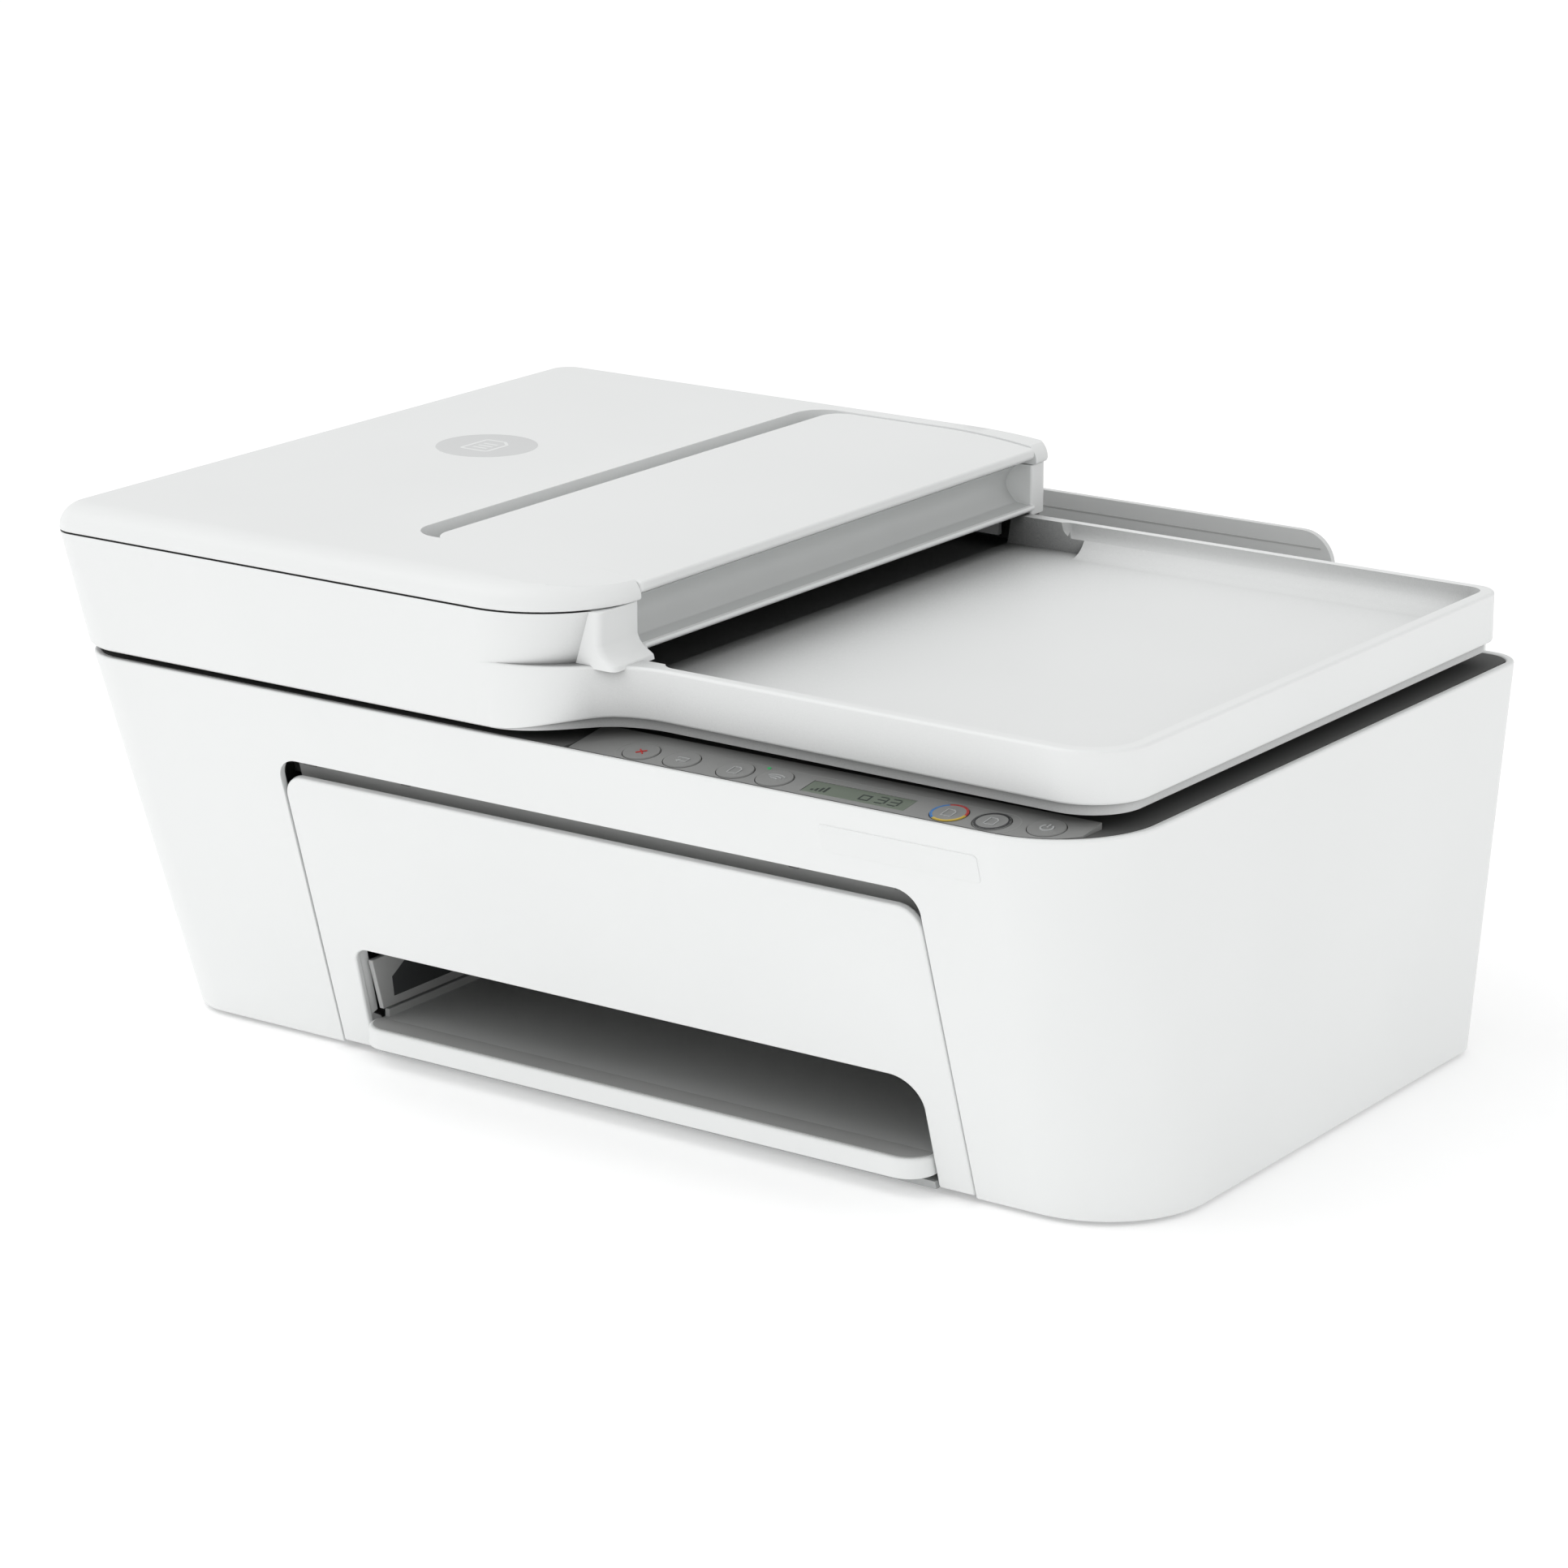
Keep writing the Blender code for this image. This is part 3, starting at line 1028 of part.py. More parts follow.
def carriage_rail():
    reach = FRAME_HALF_WIDTH - FRAME_PLATE - GAP
    add("carriage_rail", along_x([
        (RAIL_Y, RAIL_Z), (RAIL_Y + RAIL_SIZE, RAIL_Z), (RAIL_Y + RAIL_SIZE, RAIL_Z + 0.0015),
        (RAIL_Y + 0.0015, RAIL_Z + 0.0015), (RAIL_Y + 0.0015, RAIL_Z + RAIL_SIZE),
        (RAIL_Y, RAIL_Z + RAIL_SIZE),
    ], -reach, reach), STEEL, at=(0, RAIL_Y, RAIL_Z))


def platen():
    """Ribbed plate that the paper passes over."""
    plate = add("platen", box((-0.115, 0.115), (-0.012, 0.050), (PLATEN_Z - 0.006, PLATEN_Z - 0.001)),
                DARK)
    ribs = [box((x - 0.0008, x + 0.0008), (-0.011, 0.049), (PLATEN_Z - 0.003, PLATEN_Z))
            for x in (-0.105 + 0.030 * i for i in range(8))]
    fuse(plate, *ribs)
    for side in (-1, 1):
        outer = FRAME_HALF_WIDTH - FRAME_PLATE - GAP
        fuse(plate, box((min(side * 0.114, side * outer), max(side * 0.114, side * outer)),
                        (-0.004, 0.040) if side < 0 else (0.042, 0.049),
                        (PLATEN_Z - 0.006, PLATEN_Z - 0.002)))


def service_station():
    x = CARRIAGE_PARK_X
    floor = PAN_Z + PAN_THICKNESS + GAP
    shelf = OUT_TRAY_Z + 0.004
    station = add("service_station", box((TRAY_RIGHT_END_X + 0.005, x + 0.029), (-0.018, 0.038),
                                         (floor, shelf + 0.001)),
                  DARK)
    fuse(station, box((x - 0.021, x + 0.029), (-0.016, 0.036), (shelf, shelf + 0.002)))
    for side in (-1, 1):
        cap = x + side * CARTRIDGE_PITCH / 2
        fuse(station, box((cap - 0.006, cap + 0.006), (-0.010, 0.010), (shelf + 0.001, NOZZLE_Z - 0.001)))


def rollers():
    """Feed and eject rollers through the side plates, the pick roller behind, and the feed motor."""
    feed = (FEED_ROLLER_Y, FEED_ROLLER_Z)
    end = FRAME_HALF_WIDTH + 0.003
    shaft = turned(feed, ((-end - GEAR_WIDTH - 0.001, 0.003), (-0.112, 0.003),
                          (-0.112, FEED_ROLLER_RADIUS),
                          (0.112, FEED_ROLLER_RADIUS), (0.112, 0.003), (end, 0.003)))
    roller = add("feed_roller", shaft, RUBBER, at=(0, *feed))
    fuse(roller, along_x(gear(feed, FEED_GEAR_RADIUS, 24), -end - GEAR_WIDTH, -end))
    eject = (EJECT_ROLLER_Y, EJECT_ROLLER_Z)
    stations = [(-end, 0.002)]
    for i in range(5):
        x = -0.092 + 0.046 * i
        stations += [(x - 0.006, 0.002), (x - 0.006, EJECT_ROLLER_RADIUS),
                     (x + 0.006, EJECT_ROLLER_RADIUS),
                     (x + 0.006, 0.002)]
    add("eject_roller", turned(eject, [*stations, (end, 0.002)], 12), RUBBER, at=(0, *eject))
    pick = (PICK_ROLLER_Y, PICK_ROLLER_Z)
    half = PICK_ROLLER_WIDTH / 2
    add("pick_roller", turned(pick, ((-0.068, 0.003), (-half, 0.003), (-half, PICK_ROLLER_RADIUS),
                                     (half, PICK_ROLLER_RADIUS), (half, 0.003), (0.068, 0.003))), RUBBER,
        at=(0, *pick))
    inner = FRAME_HALF_WIDTH - FRAME_PLATE - GAP
    add("feed_motor", turned(FEED_MOTOR_AXIS, ((-inner, 0.0085), (-inner + 0.020, 0.0085)), 20), STEEL,
        at=(-inner, *FEED_MOTOR_AXIS))
    pinion = add("motor_pinion", along_x(gear(FEED_MOTOR_AXIS, PINION_RADIUS, 8), -end - GEAR_WIDTH,
                                         -end), BLACK,
                 at=(-end, *FEED_MOTOR_AXIS))
    fuse(pinion, turned(FEED_MOTOR_AXIS, ((-end - 0.001, 0.0015), (-inner - GAP, 0.0015)), 10))


def carriage():
    """Carriage that hangs on the rail, with two cartridges and a latch over each."""
    x = CARRIAGE_PARK_X
    half = CARRIAGE_WIDTH / 2
    y_back = RAIL_Y - RUNNING
    body = add("print_carriage", along_x([
        (-0.027, CARTRIDGE_Z - 0.003), (y_back, CARTRIDGE_Z - 0.003),
        (y_back, RAIL_Z + RAIL_SIZE + RUNNING),
        (RAIL_Y + RAIL_SIZE + 0.002, RAIL_Z + RAIL_SIZE + RUNNING),
        (RAIL_Y + RAIL_SIZE + 0.002, RAIL_Z + 0.0145),
        (0.016, RAIL_Z + 0.0145), (-0.027, CARTRIDGE_Z + 0.030),
    ], x - half, x + half), DARK, at=(x, RAIL_Y, RAIL_Z))
    back = CARTRIDGE_BACK_Y
    for name, side, material in (("cartridge_colour", -1, CYAN), ("cartridge_black", 1, BLACK)):
        centre = x + side * CARTRIDGE_PITCH / 2
        w = CARTRIDGE_WIDTH / 2
        cut(body, box((centre - w - GAP, centre + w + GAP), (-0.05, back + GAP),
                      (CARTRIDGE_Z - GAP, 0.2)))
        cut(body, box((centre - 0.0085, centre + 0.0085), (-0.0125, 0.0125),
                      (CARTRIDGE_Z - 0.01, CARTRIDGE_Z + 0.01)))
        top = CARTRIDGE_Z + CARTRIDGE_HEIGHT
        cartridge = add(name, along_x([
            (back - CARTRIDGE_DEPTH, CARTRIDGE_Z), (back, CARTRIDGE_Z), (back, top - 0.006),
            (back - 0.008, top - 0.006),
            (back - 0.008, top), (back - CARTRIDGE_DEPTH + 0.006, top),
            (back - CARTRIDGE_DEPTH, top - 0.012),
        ], centre - w, centre + w), material, parent=body, at=(centre, back, CARTRIDGE_Z))
        fuse(cartridge, box((centre - 0.008, centre + 0.008), (-0.012, 0.012),
                            (NOZZLE_Z, CARTRIDGE_Z + 0.001)))
        low, high = top + GAP, top + GAP + LATCH_THICKNESS
        axis = (centre, back - 0.002, (low + high) / 2)
        front = back - CARTRIDGE_DEPTH
        latch = name.replace("cartridge", "latch")
        add(latch, along_x([
            (front - 0.0020, low - LATCH_HOOK), (front - 0.0006, low - LATCH_HOOK), (front + 0.0005, low),
            (back - 0.0010, low), (back - 0.0010, high), (front - 0.0020, high),
        ], centre - w + 0.0008, centre + w - 0.0008), LIGHT_GREY, parent=body, at=axis)


def belt_drive():
    """Toothed belt behind the rail, round a pulley at each end, and the carriage motor."""
    z = RAIL_Z + 0.006
    y = RAIL_Y + RAIL_SIZE + 0.005
    r_in, r_out = PULLEY_RADIUS + GAP, PULLEY_RADIUS + GAP + BELT_THICKNESS
    loops = []
    for radius in (r_in, r_out):
        loops.append(arc((z, PULLEY_X), radius, 0, pi, 8) + arc((z, -PULLEY_X), radius, pi, 2 * pi, 8))
    belt = add("carriage_belt", along_y(loops[1], y, y + BELT_WIDTH), BLACK, at=(0, y, z))
    cut(belt, along_y(loops[0], y - 0.01, y + BELT_WIDTH + 0.01))
    for name, x in (("idler_pulley", -PULLEY_X), ("drive_pulley", PULLEY_X)):
        add(name, along_y(gear((z, x), PULLEY_RADIUS, 16, 0.0005), y - 0.0005, y + BELT_WIDTH + 0.0005),
            STEEL,
            at=(x, y, z))
    motor = add("carriage_motor", along_y(disc((z, PULLEY_X), 0.012, 20), FRAME_BACK_Y + GAP,
                                          FRAME_BACK_Y + 0.022),
                STEEL, at=(PULLEY_X, FRAME_BACK_Y, z))
    fuse(motor, along_y(disc((z, PULLEY_X), 0.0015, 10), y + BELT_WIDTH + 0.0008, FRAME_BACK_Y + 0.001))


def electronics():
    """Main board on the right of the chassis and power supply on its left."""
    x = FRAME_HALF_WIDTH + 0.010
    board = add("main_board", box((x, x + 0.0016), (-0.055, 0.085), (0.016, 0.100)), BOARD,
                at=(x, 0, 0.016))
    for y, z, width, height, depth in ((0.000, 0.060, 0.026, 0.026, 0.003),
                                       (0.050, 0.040, 0.018, 0.014, 0.0025),
                                       (-0.035, 0.080, 0.030, 0.008, 0.007),
                                       (0.060, 0.085, 0.022, 0.008, 0.007)):
        fuse(board, box((x + 0.001, x + 0.0016 + depth), (y - width / 2, y + width / 2),
                        (z - height / 2, z + height / 2)))
    left = -side_x(PAN_Z + PAN_SKIRT) + WALL + 0.004
    floor = PAN_Z + PAN_THICKNESS + GAP
    add("power_supply", box((left, left + 0.017), (-0.060, 0.070), (floor, 0.075)), DARK,
        at=(left, 0, floor))


def build():
    outer_shell()
    base_pan()
    feet()
    top_deck()
    scanner_glass()
    control_panel()
    lcd_window()
    buttons()
    access_door()
    output_tray()
    lid = scanner_lid()
    lid_base(lid)
    feeder_frame(lid)
    feeder_rollers(lid)
    feeder_cover(lid)
    document_flap(lid)
    document_guides(lid)
    rear_housing()
    rear_tray()
    sockets()
    scanner()
    print_frame()
    carriage_rail()
    platen()
    service_station()
    rollers()
    carriage()
    belt_drive()
    electronics()


build()
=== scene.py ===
"""Studio scene of the all-in-one inkjet printer: finer shells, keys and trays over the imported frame."""

import json
from math import acos, atan, cos, pi, radians, sin, tan

import bmesh
import bpy
from mathutils import Matrix, Vector

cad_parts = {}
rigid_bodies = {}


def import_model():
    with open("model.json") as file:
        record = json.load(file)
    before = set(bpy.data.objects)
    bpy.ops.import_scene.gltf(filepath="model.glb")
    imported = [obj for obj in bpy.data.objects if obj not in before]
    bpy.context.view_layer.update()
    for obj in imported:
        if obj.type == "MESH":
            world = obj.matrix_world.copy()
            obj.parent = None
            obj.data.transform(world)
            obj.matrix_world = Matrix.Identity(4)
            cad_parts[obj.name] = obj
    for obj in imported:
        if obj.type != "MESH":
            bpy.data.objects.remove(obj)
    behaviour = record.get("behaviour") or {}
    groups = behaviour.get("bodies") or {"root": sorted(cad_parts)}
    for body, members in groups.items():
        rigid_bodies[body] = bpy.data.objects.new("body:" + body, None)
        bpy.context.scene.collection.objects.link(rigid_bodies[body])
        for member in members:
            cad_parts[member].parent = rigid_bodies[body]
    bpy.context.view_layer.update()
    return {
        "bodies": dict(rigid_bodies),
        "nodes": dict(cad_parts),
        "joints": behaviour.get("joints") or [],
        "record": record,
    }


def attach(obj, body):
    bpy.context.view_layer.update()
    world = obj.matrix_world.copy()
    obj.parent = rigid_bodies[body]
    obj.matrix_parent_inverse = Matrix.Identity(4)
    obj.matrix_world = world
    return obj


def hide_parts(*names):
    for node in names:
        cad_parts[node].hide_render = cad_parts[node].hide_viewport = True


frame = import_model()
NODES = frame["nodes"]

# ---------------------------------------------------------------- sizes, in metres, in the body's own frame
OFFSET = Vector((0.0035047, 0.0023622, 0.0))
LEFT_REACH, CORNER_TAPER = 0.0050, 0.26
BODY_WIDTH, BODY_DEPTH, BODY_BACK_Y, RIM_Z = 0.4126, 0.2340, 0.1167, 0.1453
SIDE_LEAN, FRONT_LEAN, BACK_LEAN = 0.0434, 0.309, 0.085
FRONT_RIGHT_RADIUS, FRONT_LEFT_RADIUS, BACK_RADIUS = 0.040, 0.021, 0.012
WALL, PAN_Z, LID_GAP = 0.003, 0.0015, 0.0027
LEAN_ANGLE = atan(FRONT_LEAN)
FRONT_Y = BODY_BACK_Y - BODY_DEPTH
LID_Z = RIM_Z + LID_GAP
TRAY_RIM_Z, TRAY_RIM, TRAY_FLOOR_Z, TRAY_BACK_Y = 0.172, 0.0045, 0.161, 0.118
LID_FRONT_Y = FRONT_Y - FRONT_LEAN * RIM_Z - 0.0013
TRAY_FRONT_Y = LID_FRONT_Y + 0.0225
TRAY_RIGHT_X = BODY_WIDTH / 2 + SIDE_LEAN * RIM_Z - 0.0045
FEEDER_RIGHT_X, FEEDER_BACK_Y, FEEDER_SEAM_Z, FEEDER_TOP_Z = 0.012, 0.131, 0.1904, 0.200
FEEDER_DROOP, FEEDER_FRONT_LEAN = 0.0030, 0.113
COVER_Z = FEEDER_SEAM_Z + 0.0012
RECESS_Z = LID_Z + 0.0065
FLAP_LEFT_X, FLAP_FRONT_Y, FLAP_BACK_Y, FLAP_SLOT = -0.0794, -0.1275, 0.1185, 0.0096
FLAP_AXIS_X, FLAP_AXIS_Z, FLAP_THICKNESS = FEEDER_RIGHT_X - 0.0035, FEEDER_TOP_Z - 0.0050, 0.0052
MOUTH_FRONT_Y, MOUTH_BACK_Y = -0.1275, 0.1185
PILLAR_FRONT_Y, PILLAR_RIGHT_X, PILLAR_DEPTH_X = -0.148, 0.0104, 0.018
SHELF_Z, GAP, RUNNING = TRAY_RIM_Z + 0.0003, 0.0003, 0.0005
DOOR_LEFT_X, DOOR_RIGHT_X, DOOR_TOP_LEFT_X, DOOR_TOP_RIGHT_X = -0.1313, 0.1412, -0.1284, 0.1396
DOOR_HEIGHT, DOOR_FOOT, DOOR_THICKNESS, DOOR_CORNER, DOOR_SEAM = 0.1165, 0.0025, 0.003, 0.009, 0.0006
DOOR_AXIS_UP, DOOR_AXIS_DEPTH, PIN_RADIUS = 0.0075, -0.0065, 0.002
FINGER_GAP, SLOT_LEFT_X, SLOT_RIGHT_X, SLOT_HEIGHT = 0.007, -0.1163, 0.1269, 0.0460
SLOT_LEFT_RADIUS, SLOT_RIGHT_RADIUS, SLOT_FOOT, SLOT_EDGE = 0.006, 0.012, 0.0150, 0.0016
TRAY_LEFT_X, TRAY_END_X, OUT_TRAY_Z, OUT_TRAY_LOW_Z, OUT_TRAY_LENGTH = -0.1158, 0.1261, 0.0135, 0.011, 0.140
LIP_PROUD, LIP_CORNER, LIP_LOW_Z, LIP_TOP_Z, TRAY_RIB = 0.008, 0.0105, 0.007, 0.0143, 0.002
HINGE_X, HINGE_HALF, HINGE_Y, HINGE_Z, EAR_THICKNESS, EAR_RADIUS = 0.170, 0.0125, 0.140, 0.156, 0.006, 0.005
REAR_WIDTH, REAR_EDGE, REAR_LOW_Z, REAR_HIGH_Z = 0.244, 0.0055, 0.040, 0.112
POWER_INLET, USB_PORT, SOCKET_Z = (-0.150, 0.024, 0.014), (0.150, 0.0125, 0.0115), 0.050
BADGE_LEFT_X, BADGE_RIGHT_X, BADGE_LOW, BADGE_HIGH, BADGE_CORNER = 0.106, 0.167, 0.1325, 0.1430, 0.0015
SIGN_X, SIGN_Y, SIGN_RADIUS = -0.1500, -0.0060, 0.0190
PANEL_LEFT_X, PANEL_DEPTH, PANEL_FRONT_Z = 0.002, 0.0225, 0.1440
PANEL_TILT, PANEL_THICKNESS, PANEL_EDGE, PANEL_ROW = radians(8.0), 0.0016, 0.0043, 0.0085
PANEL_RIGHT_X = BODY_WIDTH / 2 + SIDE_LEAN * RIM_Z - 0.014
PANEL_FRONT_Y = FRONT_Y - FRONT_LEAN * RIM_Z + PANEL_EDGE
BUTTON_RADIUS, BUTTON_CLEARANCE = 0.0064, 0.0003
BUTTON_X = {
    "cancel_button": 0.0276, "resume_button": 0.0443, "info_button": 0.0660, "wireless_button": 0.0818,
    "colour_copy_button": 0.1501, "black_copy_button": 0.1663, "power_button": 0.1850,
}
LCD_X, LCD_WIDTH, LCD_DEPTH, SIGN_TOP = 0.115, 0.040, 0.0085, 0.00039
FRONT_FACE = Matrix.Translation((0, FRONT_Y, 0)) @ Matrix.Rotation(pi / 2 + LEAN_ANGLE, 4, "X")
PANEL_FACE = Matrix.Translation(
    (0, PANEL_FRONT_Y + PANEL_ROW, PANEL_FRONT_Z + PANEL_ROW * tan(PANEL_TILT))
) @ Matrix.Rotation(PANEL_TILT, 4, "X")
AXES_X = Matrix(((0, 0, 1, 0), (1, 0, 0, 0), (0, 1, 0, 0), (0, 0, 0, 1)))
AXES_Y = Matrix(((0, 1, 0, 0), (0, 0, 1, 0), (1, 0, 0, 0), (0, 0, 0, 1)))
UPRIGHT = Matrix(((1, 0, 0, 0), (0, 0, -1, 0), (0, 1, 0, 0), (0, 0, 0, 1)))


# ---------------------------------------------------------------- materials
def plastic(name, dark, light, roughness=0.42, grain=2600.0, bump=0.05, metallic=0.0, coat=0.0, cloud=9.0):
    """Moulded surface: a slow drift of tone, a fine grain in its height, and a little change in its gloss."""
    material = bpy.data.materials.new(name)
    material.use_nodes = True
    tree = material.node_tree
    shader = tree.nodes["Principled BSDF"]
    place = tree.nodes.new("ShaderNodeTexCoord")
    slow = tree.nodes.new("ShaderNodeTexNoise")
    slow.inputs["Scale"].default_value = cloud
    slow.inputs["Detail"].default_value = 2.0
    tone = tree.nodes.new("ShaderNodeValToRGB")
    tone.color_ramp.elements[0].position = 0.3
    tone.color_ramp.elements[0].color = (*dark, 1.0)
    tone.color_ramp.elements[1].position = 0.7
    tone.color_ramp.elements[1].color = (*light, 1.0)
    fine = tree.nodes.new("ShaderNodeTexNoise")
    fine.inputs["Scale"].default_value = grain
    fine.inputs["Detail"].default_value = 1.0
    relief = tree.nodes.new("ShaderNodeBump")
    relief.inputs["Strength"].default_value = bump
    relief.inputs["Distance"].default_value = 0.0001
    gloss = tree.nodes.new("ShaderNodeMapRange")
    gloss.inputs["To Min"].default_value = roughness - 0.04
    gloss.inputs["To Max"].default_value = roughness + 0.04
    for texture in (slow, fine):
        tree.links.new(place.outputs["Object"], texture.inputs["Vector"])
    tree.links.new(slow.outputs["Fac"], tone.inputs["Fac"])
    tree.links.new(tone.outputs["Color"], shader.inputs["Base Color"])
    tree.links.new(fine.outputs["Fac"], relief.inputs["Height"])
    tree.links.new(relief.outputs["Normal"], shader.inputs["Normal"])
    tree.links.new(slow.outputs["Fac"], gloss.inputs["Value"])
    tree.links.new(gloss.outputs["Result"], shader.inputs["Roughness"])
    shader.inputs["Metallic"].default_value = metallic
    shader.inputs["Coat Weight"].default_value = coat
    shader.inputs["Coat Roughness"].default_value = 0.12
    return material


def painted_hollow_shade(material, reach, depth):
    """Paints shade into the colour: dims the tone where the surface lies deep in a hollow."""
    tree = material.node_tree
    shader = tree.nodes["Principled BSDF"]
    tone = shader.inputs["Base Color"].links[0].from_socket
    # Ambient occlusion dims the base colour here: painted shade.
    painted_shade_occlusion = tree.nodes.new("ShaderNodeAmbientOcclusion")
    painted_shade_occlusion.samples = 8
    painted_shade_occlusion.inputs["Distance"].default_value = reach
    shade = tree.nodes.new("ShaderNodeMapRange")
    shade.inputs["From Min"].default_value = 0.25
    shade.inputs["From Max"].default_value = 0.90
    shade.inputs["To Min"].default_value = depth
    shade.inputs["To Max"].default_value = 1.0
    mixed = tree.nodes.new("ShaderNodeMix")
    mixed.data_type = "RGBA"
    mixed.blend_type = "MULTIPLY"
    mixed.inputs["Factor"].default_value = 1.0
    tree.links.new(painted_shade_occlusion.outputs["AO"], shade.inputs["Value"])
    tree.links.new(tone, mixed.inputs["A"])
    tree.links.new(shade.outputs["Result"], mixed.inputs["B"])
    tree.links.new(mixed.outputs["Result"], shader.inputs["Base Color"])
    return material


WHITE = plastic("white_satin", (0.800, 0.812, 0.808), (0.822, 0.834, 0.830), 0.40)
# Lid white with painted shade: its colour darkens in hollows such as the document tray's basin.
LID_WHITE_PAINTED_SHADE = painted_hollow_shade(plastic("lid_satin", (0.800, 0.812, 0.808), (0.822, 0.834, 0.830), 0.40), 0.080, 0.10)
# Painted shade: a darker copy of the white plastic for the feeder mouth's concave face, where shade falls.
MOUTH_WHITE_PAINTED_SHADE = plastic("white_inside", (0.58, 0.592, 0.588), (0.62, 0.632, 0.628), 0.50)
GREY = plastic("panel_grey", (0.250, 0.253, 0.249), (0.270, 0.273, 0.269), 0.48, bump=0.06)
DECK = plastic("deck_grey", (0.085, 0.087, 0.085), (0.097, 0.099, 0.097), 0.80)
TRAY = plastic("tray_grey", (0.52, 0.53, 0.525), (0.57, 0.58, 0.575), 0.60)
# Painted shade: a darker copy of the tray grey for the lip's open top, so it looks as dark as the shaded
# floor in the slot.
TRAY_TOP_PAINTED_SHADE = plastic("tray_top_grey", (0.36, 0.365, 0.36), (0.40, 0.405, 0.40), 0.60)
LINER = plastic("liner_grey", (0.44, 0.445, 0.44), (0.48, 0.485, 0.48), 0.55)
RECESS = plastic("recess_grey", (0.135, 0.138, 0.136), (0.155, 0.158, 0.156), 0.5)
REAR = plastic("rear_grey", (0.64, 0.65, 0.645), (0.68, 0.69, 0.685), 0.45)
LIGHT = plastic("light_grey", (0.42, 0.43, 0.43), (0.46, 0.47, 0.47), 0.42)
DARK = plastic("dark_moulding", (0.045, 0.048, 0.050), (0.065, 0.068, 0.070), 0.55)
BLACK = plastic("black_moulding", (0.010, 0.010, 0.011), (0.020, 0.020, 0.021), 0.45)
RUBBER = plastic("rubber", (0.012, 0.012, 0.012), (0.024, 0.024, 0.024), 0.85, grain=1500.0, bump=0.2)
STEEL = plastic("sheet_steel", (0.52, 0.53, 0.55), (0.62, 0.63, 0.65), 0.28, grain=900.0, metallic=1.0)
FOAM = plastic("foam_pad", (0.82, 0.82, 0.80), (0.88, 0.88, 0.86), 0.85, grain=900.0, bump=0.3)
BOARD = plastic("solder_mask", (0.010, 0.110, 0.040), (0.020, 0.150, 0.055), 0.35)
CYAN = plastic("cartridge_body", (0.04, 0.26, 0.38), (0.06, 0.32, 0.45), 0.4)
SILVER = plastic("sign_silver", (0.60, 0.61, 0.61), (0.66, 0.67, 0.67), 0.35)
SCREEN = plastic("display_screen", (0.150, 0.180, 0.145), (0.185, 0.218, 0.175), 0.30, coat=0.2)
SEGMENT = plastic("display_segment", (0.030, 0.040, 0.035), (0.050, 0.060, 0.055), 0.3)
EDGE = plastic("print_light", (0.27, 0.275, 0.27), (0.30, 0.305, 0.30), 0.5)
INK = plastic("print_dark", (0.035, 0.036, 0.038), (0.055, 0.056, 0.058), 0.4)
RED = plastic("print_red", (0.50, 0.03, 0.03), (0.60, 0.05, 0.04), 0.4)
BLUE = plastic("print_blue", (0.04, 0.20, 0.55), (0.06, 0.26, 0.65), 0.4)
YELLOW = plastic("print_yellow", (0.75, 0.52, 0.05), (0.85, 0.60, 0.08), 0.4)
GREEN = plastic("lamp_green", (0.05, 0.50, 0.16), (0.08, 0.62, 0.22), 0.3)
PRINT_WHITE = plastic("print_pale", (0.42, 0.43, 0.43), (0.48, 0.49, 0.49), 0.5)
GLASS = plastic("scanner_glass", (0.60, 0.68, 0.66), (0.64, 0.72, 0.70), 0.04, bump=0.0)
GLASS.node_tree.nodes["Principled BSDF"].inputs["Transmission Weight"].default_value = 0.85
FLOOR = plastic("studio_floor", (0.90, 0.90, 0.90), (0.92, 0.92, 0.92), 0.75, grain=40.0, bump=0.0, cloud=0.6)


# ---------------------------------------------------------------- shapes
SAME_POINT, ROUNDED_ANGLE, SHARP_ANGLE = 2e-6, radians(32), radians(30)


def filleted(corners, steps=14):
    """Outline through corners (x, y, radius), with an arc of that radius in place of each corner."""
    outline = []
    count = len(corners)
    for i, (x, y, radius) in enumerate(corners):
        here = Vector((x, y))
        if radius <= 0:
            outline.append(here)
            continue
        before = (Vector(corners[i - 1][:2]) - here).normalized()
        after = (Vector(corners[(i + 1) % count][:2]) - here).normalized()
        half = before.angle(after) / 2
        centre = here + (before + after).normalized() * (radius / sin(half))
        start = here + before * (radius / tan(half)) - centre
        turn = start.angle_signed(here + after * (radius / tan(half)) - centre)
        for step in range(steps + 1):
            angle = -turn * step / steps
            outline.append(centre + Vector((start.x * cos(angle) - start.y * sin(angle),
                                            start.x * sin(angle) + start.y * cos(angle))))
    return outline


def loft(rings, ring=False):
    """Closed solid through outlines, each with a height or a function of the point.

    As a ring it has no end faces: the last outline joins the first.
    """
    shape = bmesh.new()
    loops = [
        [shape.verts.new((p[0], p[1], z(p) if callable(z) else z)) for p in outline]
        for outline, z in rings
    ]
    pairs = list(zip(loops, loops[1:])) + ([(loops[-1], loops[0])] if ring else [])
    for low, high in pairs:
        for i in range(len(low)):
            j = (i + 1) % len(low)
            shape.faces.new((low[i], low[j], high[j], high[i]))
    if not ring:
        shape.faces.new(list(reversed(loops[0])))
        shape.faces.new(loops[-1])
    bmesh.ops.recalc_face_normals(shape, faces=shape.faces)
    return shape


def moved(shape, matrix):
    bmesh.ops.transform(shape, matrix=matrix, verts=shape.verts)
    return shape


def prism(outline, low, high):
    return loft([(outline, low), (outline, high)])


def along_x(outline, low, high):
    return moved(prism(outline, low, high), AXES_X)


def along_y(outline, low, high):
    return moved(prism(outline, low, high), AXES_Y)


def box(x, y, z):
    return prism([(x[0], y[0]), (x[1], y[0]), (x[1], y[1]), (x[0], y[1])], z[0], z[1])


